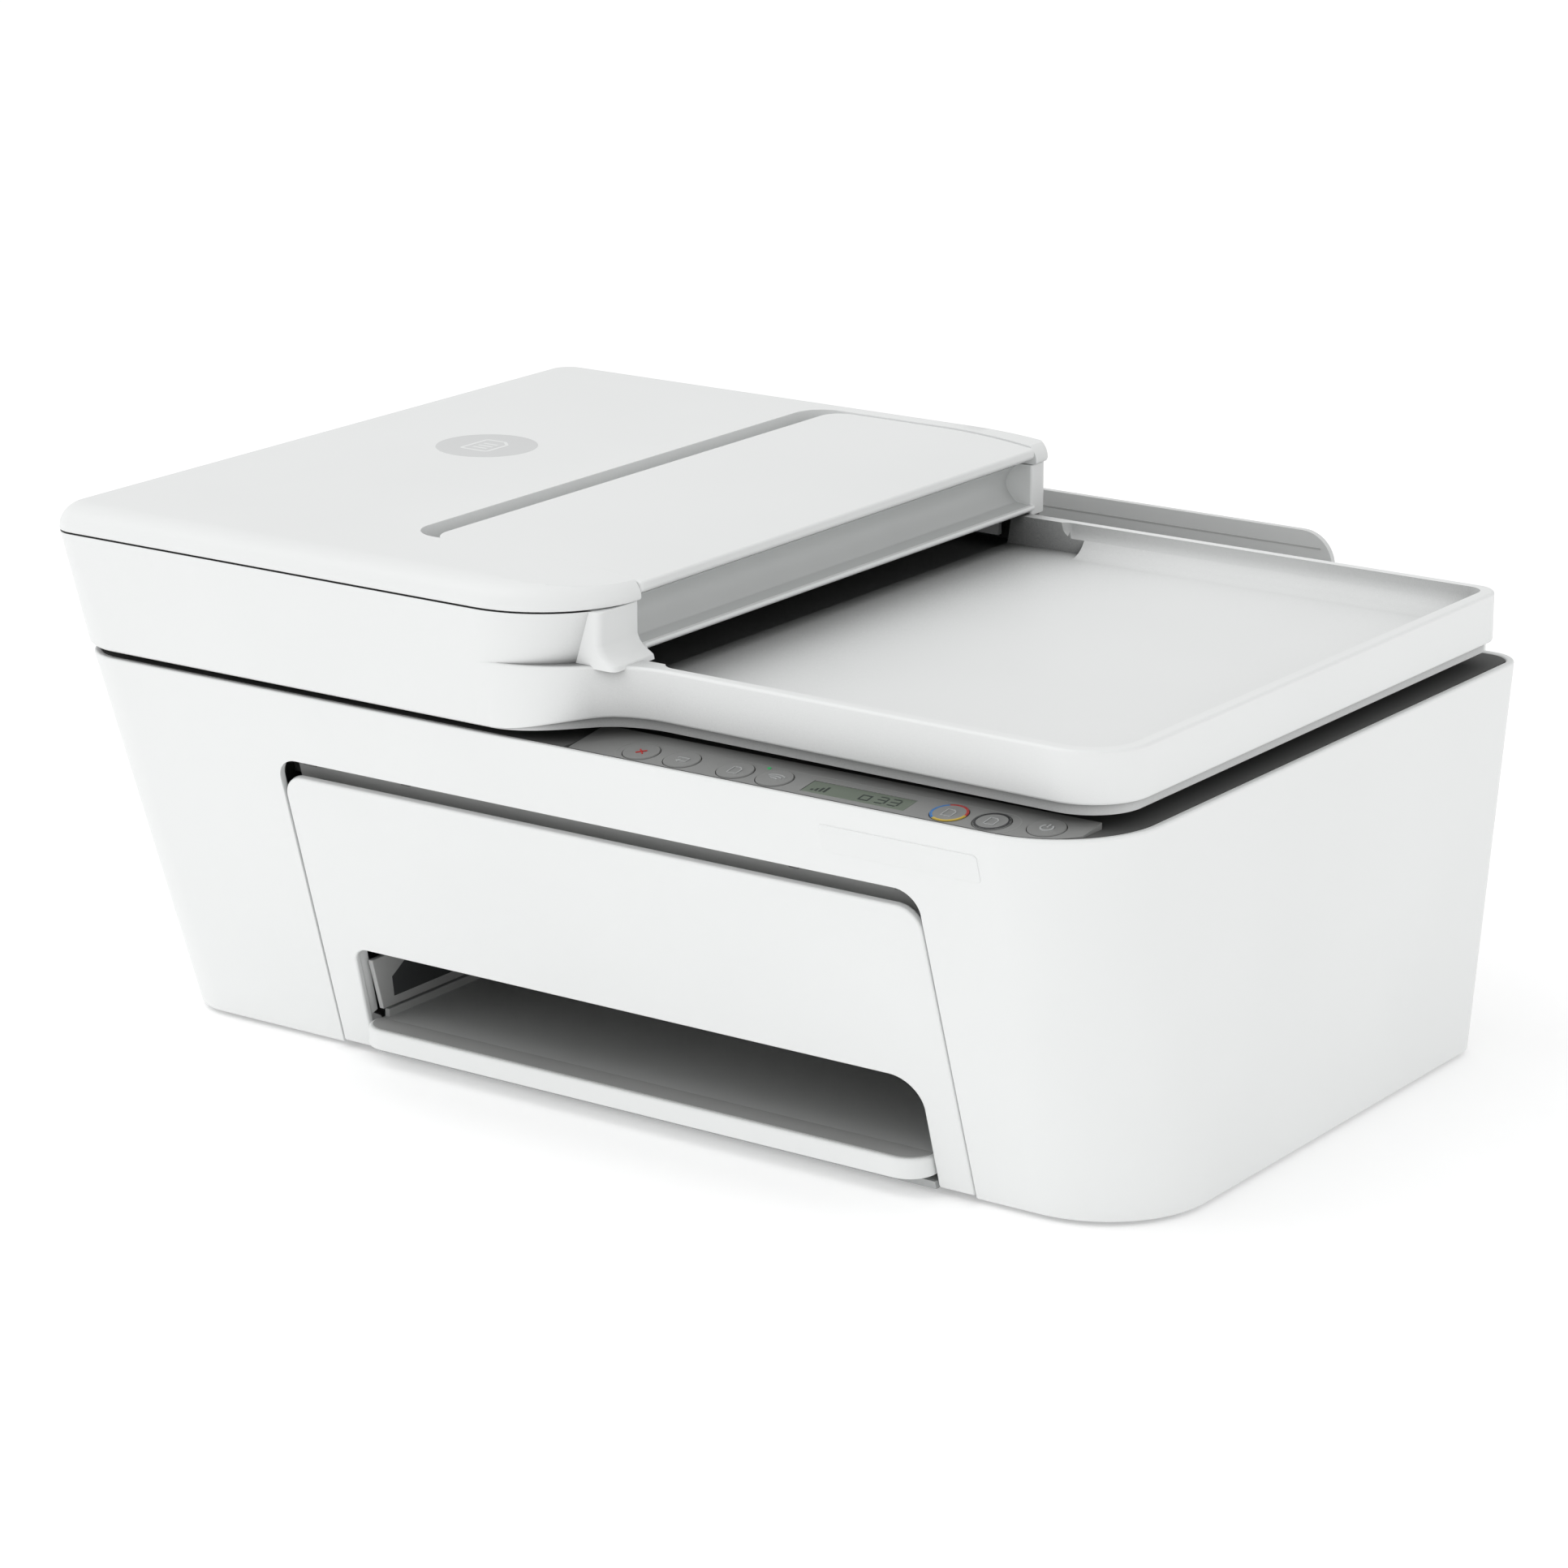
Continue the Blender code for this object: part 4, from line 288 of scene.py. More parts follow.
def arc(centre, radius, start, end, steps=16):
    return [
        (centre[0] + radius * cos(start + (end - start) * i / steps),
         centre[1] + radius * sin(start + (end - start) * i / steps))
        for i in range(steps + 1)
    ]


def disc(centre, radius, sides=48):
    return arc(centre, radius, 0, 2 * pi * (sides - 1) / sides, sides - 1)


def slab(outline, low, high, round_low, round_high, steps=4):
    """Lofted solid from outline(z, inset) with its lower and upper edges rounded."""
    rings = []
    for i in range(steps + 1):
        turn = pi / 2 * i / steps
        z = low + round_low * (1 - cos(turn))
        rings.append((outline(z, round_low * (1 - sin(turn))), z))
    for i in range(steps + 1):
        turn = pi / 2 * i / steps
        z = high - round_high * (1 - sin(turn))
        rings.append((outline(z, round_high * (1 - cos(turn))), z))
    return loft(rings)


def linked(name, shape, material):
    mesh = bpy.data.meshes.new(name)
    shape.to_mesh(mesh)
    shape.free()
    mesh.materials.append(material)
    piece = bpy.data.objects.new(name, mesh)
    bpy.context.scene.collection.objects.link(piece)
    return piece


def settle(piece):
    """Makes the mesh what its modifiers show."""
    graph = bpy.context.evaluated_depsgraph_get()
    mesh = bpy.data.meshes.new_from_object(piece.evaluated_get(graph))
    piece.modifiers.clear()
    piece.data = mesh


def piece(name, shape, material, body, cuts=(), fuses=(), keeps=(), edge=0.0006, segments=3, frame=None,
          stands_for=(), slot=None):
    """One visible piece: a shape with its Booleans, round edges and smooth shading, riding on a body."""
    made = linked(name, shape, material)
    tools = []
    for operation, shapes in (("INTERSECT", keeps), ("UNION", fuses), ("DIFFERENCE", cuts)):
        for other in shapes:
            tool = linked(f"{name}_tool", other, material)
            modifier = made.modifiers.new("bool", "BOOLEAN")
            modifier.operation = operation
            modifier.solver = "EXACT"
            modifier.object = tool
            tools.append(tool)
    if tools:
        bpy.context.view_layer.update()
        settle(made)
        for tool in tools:
            bpy.data.objects.remove(tool, do_unlink=True)
    clean = bmesh.new()
    clean.from_mesh(made.data)
    bmesh.ops.remove_doubles(clean, verts=clean.verts, dist=SAME_POINT)
    bmesh.ops.dissolve_degenerate(clean, edges=clean.edges, dist=SAME_POINT)
    clean.to_mesh(made.data)
    clean.free()
    if edge > 0:
        bevel = made.modifiers.new("edges", "BEVEL")
        bevel.width = edge
        bevel.segments = segments
        bevel.limit_method = "ANGLE"
        bevel.angle_limit = ROUNDED_ANGLE
        bevel.use_clamp_overlap = True
        bevel.harden_normals = False
        settle(made)
    made.data.shade_smooth()
    made.data.set_sharp_from_angle(angle=SHARP_ANGLE)
    weighted = made.modifiers.new("normals", "WEIGHTED_NORMAL")
    weighted.keep_sharp = True
    made.matrix_world = Matrix.Translation(OFFSET) @ (frame if frame is not None else Matrix.Identity(4))
    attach(made, body)
    if stands_for:
        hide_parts(*stands_for)
    return made


def strips(paths, width, low, high):
    """Thin raised lines along (points, closed) paths in a plane."""
    shape = bmesh.new()
    for points, closed in paths:
        points = [Vector(p) for p in points]
        count = len(points)
        sides = []
        for i, p in enumerate(points):
            before = points[i - 1] if closed or i else p
            after = points[(i + 1) % count] if closed or i < count - 1 else p
            along = (after - before).normalized()
            across = Vector((-along.y, along.x)) * (width / 2)
            sides.append((p + across, p - across))
        rows = [[shape.verts.new((*side[k], z)) for side in sides]
                for k, z in ((0, low), (0, high), (1, high), (1, low))]
        last = count if closed else count - 1
        for i in range(last):
            j = (i + 1) % count
            for a, b in zip(rows, rows[1:] + rows[:1]):
                shape.faces.new((a[i], a[j], b[j], b[i]))
        if not closed:
            shape.faces.new([row[0] for row in rows])
            shape.faces.new([row[-1] for row in reversed(rows)])
    bmesh.ops.recalc_face_normals(shape, faces=shape.faces)
    return shape


def joined(*shapes):
    """Several separate closed shapes as one mesh."""
    whole = bmesh.new()
    for shape in shapes:
        mesh = bpy.data.meshes.new("part")
        shape.to_mesh(mesh)
        shape.free()
        whole.from_mesh(mesh)
        bpy.data.meshes.remove(mesh)
    return whole


# ---------------------------------------------------------------- outlines
def side_x(z):
    return BODY_WIDTH / 2 + SIDE_LEAN * z


def left_x(z):
    return -side_x(z) - LEFT_REACH


def feeder_corner(z):
    return FRONT_LEFT_RADIUS - CORNER_TAPER * (z - LID_Z)


def front_y(z):
    return FRONT_Y - FRONT_LEAN * z


def back_y(z):
    return BODY_BACK_Y + BACK_LEAN * z


def rounding(radius, inset):
    return max(radius - inset, 0.0004)


def body_outline(z, inset=0.0):
    x, front, back = side_x(z) - inset, front_y(z) + inset, back_y(z) - inset
    return filleted([
        (left_x(z) + inset, front, rounding(FRONT_LEFT_RADIUS, inset)),
        (x, front, rounding(FRONT_RIGHT_RADIUS, inset)),
        (x, back, rounding(BACK_RADIUS, inset)),
        (left_x(z) + inset, back, rounding(BACK_RADIUS, inset)),
    ], 24)


def lid_outline(z, inset=0.0):
    left = left_x(z) + inset
    front = LID_FRONT_Y - FEEDER_FRONT_LEAN * (z - LID_Z) + inset
    tray_front = TRAY_FRONT_Y + inset
    right = TRAY_RIGHT_X - inset
    return filleted([
        (left, front, rounding(feeder_corner(z), inset)),
        (FEEDER_RIGHT_X - 0.0205 - inset * 0.4, front, rounding(0.048, inset)),
        (FEEDER_RIGHT_X + 0.006 - inset * 0.4, tray_front, 0.036 + inset),
        (right, tray_front - 0.004, rounding(0.022, inset)),
        (right, TRAY_BACK_Y - inset, rounding(0.009, inset)),
        (FEEDER_RIGHT_X - 0.003 - inset, TRAY_BACK_Y - inset, 0.002 + inset),
        (FEEDER_RIGHT_X - 0.003 - inset, FEEDER_BACK_Y - inset, rounding(0.0055, inset)),
        (left, FEEDER_BACK_Y - inset, rounding(BACK_RADIUS, inset)),
    ], 20)


def feeder_outline(z, inset=0.0, ends=None):
    """Plan of the feeder; its left and back walls can have their own inset, ends."""
    ends = inset if ends is None else ends
    lean = FEEDER_FRONT_LEAN * (z - LID_Z)
    right = FEEDER_RIGHT_X - 0.0030 + 0.16 * (z - TRAY_RIM_Z) - inset
    return filleted([
        (left_x(z) + ends, LID_FRONT_Y - lean + inset, rounding(feeder_corner(z), ends)),
        (right, LID_FRONT_Y - lean + inset, rounding(0.040, inset)),
        (right, FEEDER_BACK_Y - ends, rounding(0.0055, inset)),
        (left_x(z) + ends, FEEDER_BACK_Y - ends, rounding(BACK_RADIUS, ends)),
    ], 20)


def rise(point):
    """0 left of the feeder's right end, 1 right of it, with a smooth change between."""
    t = min(max((point[0] + 0.025) / 0.040, 0.0), 1.0)
    return t * t * (3 - 2 * t)


def lid_block():
    """Lid with a lower edge that climbs from the feeder to the document tray, over a small inset lip."""
    bottom = lid_outline(LID_Z, 0.0)
    under_feeder, under_tray = lid_outline(LID_Z, 0.0012), lid_outline(LID_Z, 0.0028)
    lip = [Vector(p).lerp(Vector(q), rise(p)) for p, q in zip(under_feeder, under_tray)]
    rings = [
        (lip, lambda p: LID_Z + 0.0020 * rise(p)),
        (lip, lambda p: LID_Z + 0.0004 + 0.0052 * rise(p)),
        (lid_outline(LID_Z, 0.0003), lambda p: LID_Z + 0.0006 + 0.0055 * rise(p)),
        (bottom, lambda p: LID_Z + 0.0012 + 0.0056 * rise(p)),
    ]
    for i in range(5):
        turn = pi / 2 * i / 4
        z = TRAY_RIM_Z - 0.0012 * (1 - sin(turn))
        rings.append((lid_outline(z, 0.0012 * (1 - cos(turn))), z))
    return loft(rings)


def pillar_outline(front, back, right):
    """Plan of one pillar at the feeder's mouth, rounder on its outer corner."""
    inner = FEEDER_RIGHT_X - PILLAR_DEPTH_X
    return filleted([
        (inner, front, 0.0003), (right, front, 0.0025 if front < 0 else 0.0008),
        (right, back, 0.0008 if front < 0 else 0.0055), (inner, back, 0.0003),
    ], 8)


def basin_outline(left, inset):
    right = TRAY_RIGHT_X - TRAY_RIM - inset
    front = TRAY_FRONT_Y + TRAY_RIM + inset
    back = TRAY_BACK_Y - TRAY_RIM - 1.8 * inset
    return filleted([
        (left, front - 0.001, 0.006), (right, front - 0.0035, rounding(0.017, inset)),
        (right, back, 0.006), (left, back, 0.006),
    ], 10)


def panel_outline(inset):
    radius = FRONT_RIGHT_RADIUS - PANEL_EDGE - inset
    centre = (side_x(RIM_Z) - FRONT_RIGHT_RADIUS, front_y(RIM_Z) + FRONT_RIGHT_RADIUS)
    left, right = PANEL_LEFT_X + inset, PANEL_RIGHT_X - inset
    back = PANEL_FRONT_Y + PANEL_DEPTH - inset
    corner = arc(centre, radius, -pi / 2, -acos((right - centre[0]) / radius), 20)
    return [(left, back), (left, PANEL_FRONT_Y + inset), *corner, (right, back)]


def top_profile(lift=0.0):
    """Side view (z, x) of the feeder's top, which droops to the right; the outline is closed far below."""
    right = FEEDER_RIGHT_X + 0.02
    droop = [
        (FEEDER_TOP_Z + lift - FEEDER_DROOP * (i / 16) ** 2, -0.030 + (FEEDER_RIGHT_X + 0.030) * i / 16)
        for i in range(17)
    ]
    end = FEEDER_TOP_Z + lift - FEEDER_DROOP * 1.5
    return [(0.15, -0.25), (FEEDER_TOP_Z + lift, -0.25), *droop, (end, right), (0.15, right)]


# ---------------------------------------------------------------- body
def body_pieces():
    rings = [(0.0006, PAN_Z), (0.0, PAN_Z + 0.0006), (0.0, RIM_Z - 0.0009), (0.00025, RIM_Z - 0.0003),
             (0.0008, RIM_Z), (0.0022, RIM_Z), (0.0028, RIM_Z - 0.0003), (WALL, RIM_Z - 0.0009),
             (WALL, PAN_Z + 0.0006), (WALL - 0.0006, PAN_Z)]
    top = DOOR_HEIGHT + FINGER_GAP
    opening = filleted([
        (DOOR_LEFT_X - DOOR_SEAM - 0.0005, -0.03, 0), (DOOR_RIGHT_X + DOOR_SEAM + 0.0004, -0.03, 0),
        (DOOR_TOP_RIGHT_X + DOOR_SEAM + 0.0002, top, DOOR_CORNER),
        (DOOR_TOP_LEFT_X - DOOR_SEAM - 0.0002, top, DOOR_CORNER),
    ], 10)
    half, behind = REAR_WIDTH / 2 - REAR_EDGE, BODY_BACK_Y + 0.047
    cuts = [
        moved(prism(opening, -0.012, 0.01), FRONT_FACE),
        box((-half, half), (BODY_BACK_Y - 0.030, behind), (REAR_LOW_Z, REAR_HIGH_Z)),
    ]
    for x, width, height in (POWER_INLET, USB_PORT):
        cuts.append(box(
            (x - width / 2 - GAP, x + width / 2 + GAP),
            (BODY_BACK_Y - 0.020, behind),
            (SOCKET_Z - height / 2 - GAP, SOCKET_Z + height / 2 + GAP),
        ))
    wall = loft([(body_outline(z, inset), z) for inset, z in rings], ring=True)
    piece("shell_wall", wall, WHITE, "body", cuts, edge=0.0007, stands_for=["outer_shell"], slot="white")
    badge = filleted([
        (BADGE_LEFT_X, BADGE_LOW, BADGE_CORNER), (BADGE_RIGHT_X, BADGE_LOW, BADGE_CORNER),
        (BADGE_RIGHT_X, BADGE_HIGH, BADGE_CORNER), (BADGE_LEFT_X, BADGE_HIGH, BADGE_CORNER),
    ])
    piece("badge_plate", prism(badge, -0.001, 0.0003), WHITE, "body", edge=0.0002, frame=FRONT_FACE,
          slot="white")
    for name, x in (("hinge_bracket_left", -HINGE_X), ("hinge_bracket_right", HINGE_X)):
        piece(name, joined(*hinge_ears(x)), WHITE, "body", edge=0.0004, slot="white")


def hinge_ears(x):
    """Two ears on the body's back round the lid's hinge at x, and the block between them."""
    profile = [
        (back_y(0.115) - 0.0015, 0.115), (HINGE_Y + 0.005, 0.135),
        *arc((HINGE_Y, HINGE_Z), EAR_RADIUS, 0, pi),
        (HINGE_Y - 0.005, 0.146), (back_y(0.140) - 0.0015, 0.140),
    ]
    shapes = []
    for side in (-1, 1):
        inner = x + side * HINGE_HALF
        outer = inner + side * EAR_THICKNESS
        shapes.append(along_x(profile, min(inner, outer), max(inner, outer)))
    shapes.append(box((x - 0.0124, x + 0.0124), (back_y(0.118) - 0.0012, 0.138), (0.118, 0.134)))
    return shapes


def door_pieces():
    outline = filleted([
        (DOOR_LEFT_X, DOOR_FOOT, 0), (SLOT_LEFT_X - 0.0013, DOOR_FOOT, 0),
        (SLOT_LEFT_X + 0.0013, SLOT_HEIGHT, SLOT_LEFT_RADIUS), (SLOT_RIGHT_X, SLOT_HEIGHT, SLOT_RIGHT_RADIUS),
        (SLOT_RIGHT_X, DOOR_FOOT, 0), (DOOR_RIGHT_X, DOOR_FOOT, 0),
        (DOOR_TOP_RIGHT_X, DOOR_HEIGHT, DOOR_CORNER), (DOOR_TOP_LEFT_X, DOOR_HEIGHT, DOOR_CORNER),
    ], 12)
    piece("door_panel", prism(outline, -DOOR_THICKNESS, 0), WHITE, "access_door", edge=0.0009, segments=4,
          frame=FRONT_FACE, stands_for=["access_door"], slot="white")
    jamb = filleted([
        (SLOT_LEFT_X - 0.0012, SLOT_FOOT, 0), (SLOT_LEFT_X + 0.0013, SLOT_HEIGHT, SLOT_LEFT_RADIUS),
        (SLOT_RIGHT_X, SLOT_HEIGHT, SLOT_RIGHT_RADIUS), (SLOT_RIGHT_X, SLOT_FOOT, 0),
        (SLOT_RIGHT_X + SLOT_EDGE, SLOT_FOOT, 0),
        (SLOT_RIGHT_X + SLOT_EDGE, SLOT_HEIGHT + SLOT_EDGE, SLOT_RIGHT_RADIUS + SLOT_EDGE),
        (SLOT_LEFT_X - 0.0003, SLOT_HEIGHT + SLOT_EDGE, SLOT_LEFT_RADIUS + SLOT_EDGE),
        (SLOT_LEFT_X - 0.0028, SLOT_FOOT, 0),
    ], 12)
    piece("door_slot_edge", prism(jamb, -0.0068, -0.0010), WHITE, "access_door", edge=0.0003,
          frame=FRONT_FACE, slot="white")
    for name, left, right, pin in (
        ("door_foot_left", DOOR_LEFT_X + 0.0015, SLOT_LEFT_X - 0.0025, DOOR_LEFT_X - 0.006),
        ("door_foot_right", SLOT_RIGHT_X + 0.0015, DOOR_RIGHT_X - 0.0015, DOOR_RIGHT_X + 0.006),
    ):
        block = [(0.0045, -0.0090), (0.0105, -0.0090), (0.0175, -0.0020), (0.0035, -0.0020)]
        foot = along_x(block, left, right)
        axis = disc((DOOR_AXIS_UP, DOOR_AXIS_DEPTH), PIN_RADIUS, 24)
        pin_bar = along_x(axis, min(pin, right - 0.002), max(pin, left + 0.002))
        piece(name, joined(foot, pin_bar), WHITE, "access_door", edge=0.0003, frame=FRONT_FACE, slot="white")


def output_tray_pieces():
    back, front = FRONT_Y + OUT_TRAY_LENGTH, front_y(OUT_TRAY_Z) + 0.004
    plate = [(front, OUT_TRAY_LOW_Z), (back, OUT_TRAY_LOW_Z), (back, OUT_TRAY_Z), (front, OUT_TRAY_Z)]
    ribs = [
        box(ends, (front + 0.004, back), (0.012, 0.0165))
        for ends in ((TRAY_LEFT_X, TRAY_LEFT_X + TRAY_RIB), (TRAY_END_X - TRAY_RIB, TRAY_END_X))
    ]
    piece("tray_floor", along_x(plate, TRAY_LEFT_X, TRAY_END_X), TRAY, "output_tray", edge=0.0003,
          fuses=ribs, stands_for=["output_tray"], slot="grey")
    lip_front = front_y(OUT_TRAY_Z) - LIP_PROUD

    def lip_outline(z, inset):
        return filleted([
            (TRAY_LEFT_X + inset, lip_front + inset, rounding(LIP_CORNER, inset)),
            (TRAY_END_X - inset, lip_front + inset, rounding(LIP_CORNER, inset)),
            (TRAY_END_X - inset, front - GAP, 0), (TRAY_LEFT_X + inset, front - GAP, 0),
        ], 16)

    piece("tray_front", slab(lip_outline, LIP_LOW_Z, LIP_TOP_Z, 0.0008, 0.0012), WHITE, "output_tray", edge=0,
          stands_for=["tray_lip"], slot="white")
    # The lip's top takes the darker tray grey: painted shade.
    top = prism(lip_outline(0.0, 0.0014), 0.0120, LIP_TOP_Z + 0.0003)
    piece("tray_front_top", top, TRAY_TOP_PAINTED_SHADE, "output_tray", edge=0.0003, slot="grey")


def slot_pieces():
    """Grey mouldings on the body that show through the slot and through the finger gap over the door."""
    guide = SLOT_LEFT_X + 0.0018
    wall = [(-0.118, 0.0180), (-0.062, 0.0180), (-0.062, 0.0380), (-0.124, 0.0380)]
    piece("slot_side_guide", along_x(wall, guide, guide + 0.0020), LINER, "body", edge=0.0004, slot="grey")
    # Painted shade: a thin dark plate on the uncut guide wall stands for the shade inside an opening.
    hole = [(-0.112, 0.0215), (-0.074, 0.0215), (-0.080, 0.0330), (-0.104, 0.0345), (-0.113, 0.0290)]
    piece("slot_guide_opening", along_x(hole, guide + 0.0018, guide + 0.0022), DARK, "body", edge=0,
          slot="dark")
    recess = box((DOOR_TOP_LEFT_X + 0.001, DOOR_TOP_RIGHT_X - 0.001), (0.108, 0.1232), (-0.0105, -0.0085))
    piece("door_recess", recess, LINER, "body", edge=0.0003, frame=FRONT_FACE, slot="grey")
    clips = [
        box((DOOR_TOP_LEFT_X + x, DOOR_TOP_LEFT_X + x + width), (0.1185, 0.1215), (-0.0087, -0.0055))
        for x, width in ((0.006, 0.006), (0.050, 0.004), (0.214, 0.004), (0.256, 0.006))
    ]
    piece("door_clips", joined(*clips), RECESS, "body", edge=0.0003, frame=FRONT_FACE, slot="grey")
    pitch, width = 0.0215, 0.0012
    ribs = [
        box((x, x + width), (-0.113, -0.090), (0.0385, 0.0455))
        for x in (SLOT_LEFT_X + 0.012 + pitch * i for i in range(11))
    ]
    span = (SLOT_LEFT_X + 0.004, SLOT_RIGHT_X - 0.004)
    beam = box(span, (-0.1150, -0.1130), (0.0400, 0.0475))
    piece("slot_upper_beam", joined(beam, *ribs), LINER, "body", edge=0.0003, slot="grey")
    back = box(span, (-0.030, -0.028), (0.0180, 0.0400))
    piece("slot_back_wall", back, LINER, "body", edge=0.0003, slot="grey")


# ---------------------------------------------------------------- lid and feeder
def lid_pieces():
    levels = (LID_Z + 0.0012, TRAY_RIM_Z, FEEDER_SEAM_Z - GAP)
    block = loft([(feeder_outline(z, -0.00004), z) for z in levels])
    left, depth, radius = FEEDER_RIGHT_X + 0.014, TRAY_RIM_Z - TRAY_FLOOR_Z, 0.0060
    basin = []
    for i in range(7):
        turn = pi / 2 * i / 6
        inset = radius * (1 - sin(turn))
        basin.append((basin_outline(left + inset, inset), TRAY_FLOOR_Z + depth * (1 - cos(turn))))
    basin.append((basin_outline(left, 0.0), TRAY_RIM_Z + 0.001))
    feeder_floor, above, below = TRAY_FLOOR_Z - 0.003, 0.21, LID_Z - 0.01
    piece(
        "lid_shell", lid_block(), LID_WHITE_PAINTED_SHADE, "lid",
        fuses=[block],
        cuts=[
            box((FEEDER_RIGHT_X - 0.0183, 0.05), (PILLAR_FRONT_Y - GAP, 0.2), (TRAY_RIM_Z, above)),
            loft([(feeder_outline(z, WALL), z) for z in (feeder_floor, above)]),
            loft([(lid_outline(z, 0.0032), z) for z in (below, RECESS_Z)]),
            loft(basin),
            box((-0.070, left + 0.012), (MOUTH_FRONT_Y - 0.007, MOUTH_BACK_Y - 0.0065), (TRAY_FLOOR_Z, 0.2)),
            box((-HINGE_X - HINGE_HALF, -HINGE_X + HINGE_HALF), (TRAY_BACK_Y, HINGE_Y), (below, RECESS_Z)),
        ],
        edge=0.0005, stands_for=["scanner_lid"], slot="white")


def mouth_pieces():
    low, seam = TRAY_RIM_Z - 0.0012, FEEDER_SEAM_Z - GAP
    inner = FEEDER_RIGHT_X - PILLAR_DEPTH_X
    floor_top = seam - 0.0008
    foot = [(0.0175, low), (0.0170, 0.1726), (0.0150, 0.1738), (0.0130, 0.1750), (0.0114, 0.1768),
            (PILLAR_RIGHT_X, 0.1790), (PILLAR_RIGHT_X, seam)]
    near = loft([
        (pillar_outline(PILLAR_FRONT_Y - 0.0012 - 0.05 * (seam - z), MOUTH_FRONT_Y, right), z)
        for right, z in foot
    ])
    plan = pillar_outline(MOUTH_BACK_Y, FEEDER_BACK_Y - 0.0001, PILLAR_RIGHT_X)
    far = prism(plan, low, seam)
    piece("feeder_mouth", joined(near, far), WHITE, "lid", edge=0.0006, stands_for=["feeder_frame"],
          slot="white")
    face = [
        (SHELF_Z + 0.0030 + (floor_top - SHELF_Z - 0.0030) * t,
         FEEDER_RIGHT_X - 0.0060 - 0.0070 * sin(pi * (0.10 + 0.80 * t)))
        for t in (i / 12 for i in range(13))
    ]
    shelf = [
        (SHELF_Z, FEEDER_RIGHT_X - 0.0016), (SHELF_Z + 0.0024, FEEDER_RIGHT_X - 0.0016), *face,
        (floor_top, -0.098), (floor_top - 0.0025, -0.102), (floor_top - 0.0025, FEEDER_RIGHT_X - 0.0165),
        (SHELF_Z + 0.0045, FEEDER_RIGHT_X - 0.0165), (SHELF_Z, inner),
    ]
    # The shelf takes the darker white: painted shade on its concave face.
    piece("feeder_shelf", along_y(shelf, MOUTH_FRONT_Y - 0.002, MOUTH_BACK_Y + 0.002), MOUTH_WHITE_PAINTED_SHADE, "lid",
          edge=0.0005, slot="white")
    lip = [
        (FEEDER_RIGHT_X - 0.0025, MOUTH_FRONT_Y - 0.001), (0.0150, MOUTH_FRONT_Y - 0.001),
        (0.0135, MOUTH_FRONT_Y + 0.0004), (FEEDER_RIGHT_X, MOUTH_FRONT_Y + 0.0026),
        (FEEDER_RIGHT_X, MOUTH_BACK_Y - 0.0026), (FEEDER_RIGHT_X - 0.0003, MOUTH_BACK_Y + 0.001),
        (FEEDER_RIGHT_X - 0.0025, MOUTH_BACK_Y + 0.001),
    ]
    piece("feeder_lip", prism(lip, 0.1733, 0.1749), WHITE, "lid", edge=0.0006, slot="white")
    plates = [
        box((-0.165, inner + 0.002), (y, y + 0.0025), (TRAY_FLOOR_Z + GAP, floor_top))
        for y in (MOUTH_FRONT_Y - 0.0025, MOUTH_BACK_Y)
    ]
    piece("feeder_side_plates", joined(*plates), WHITE, "lid", edge=0.0003, slot="white")


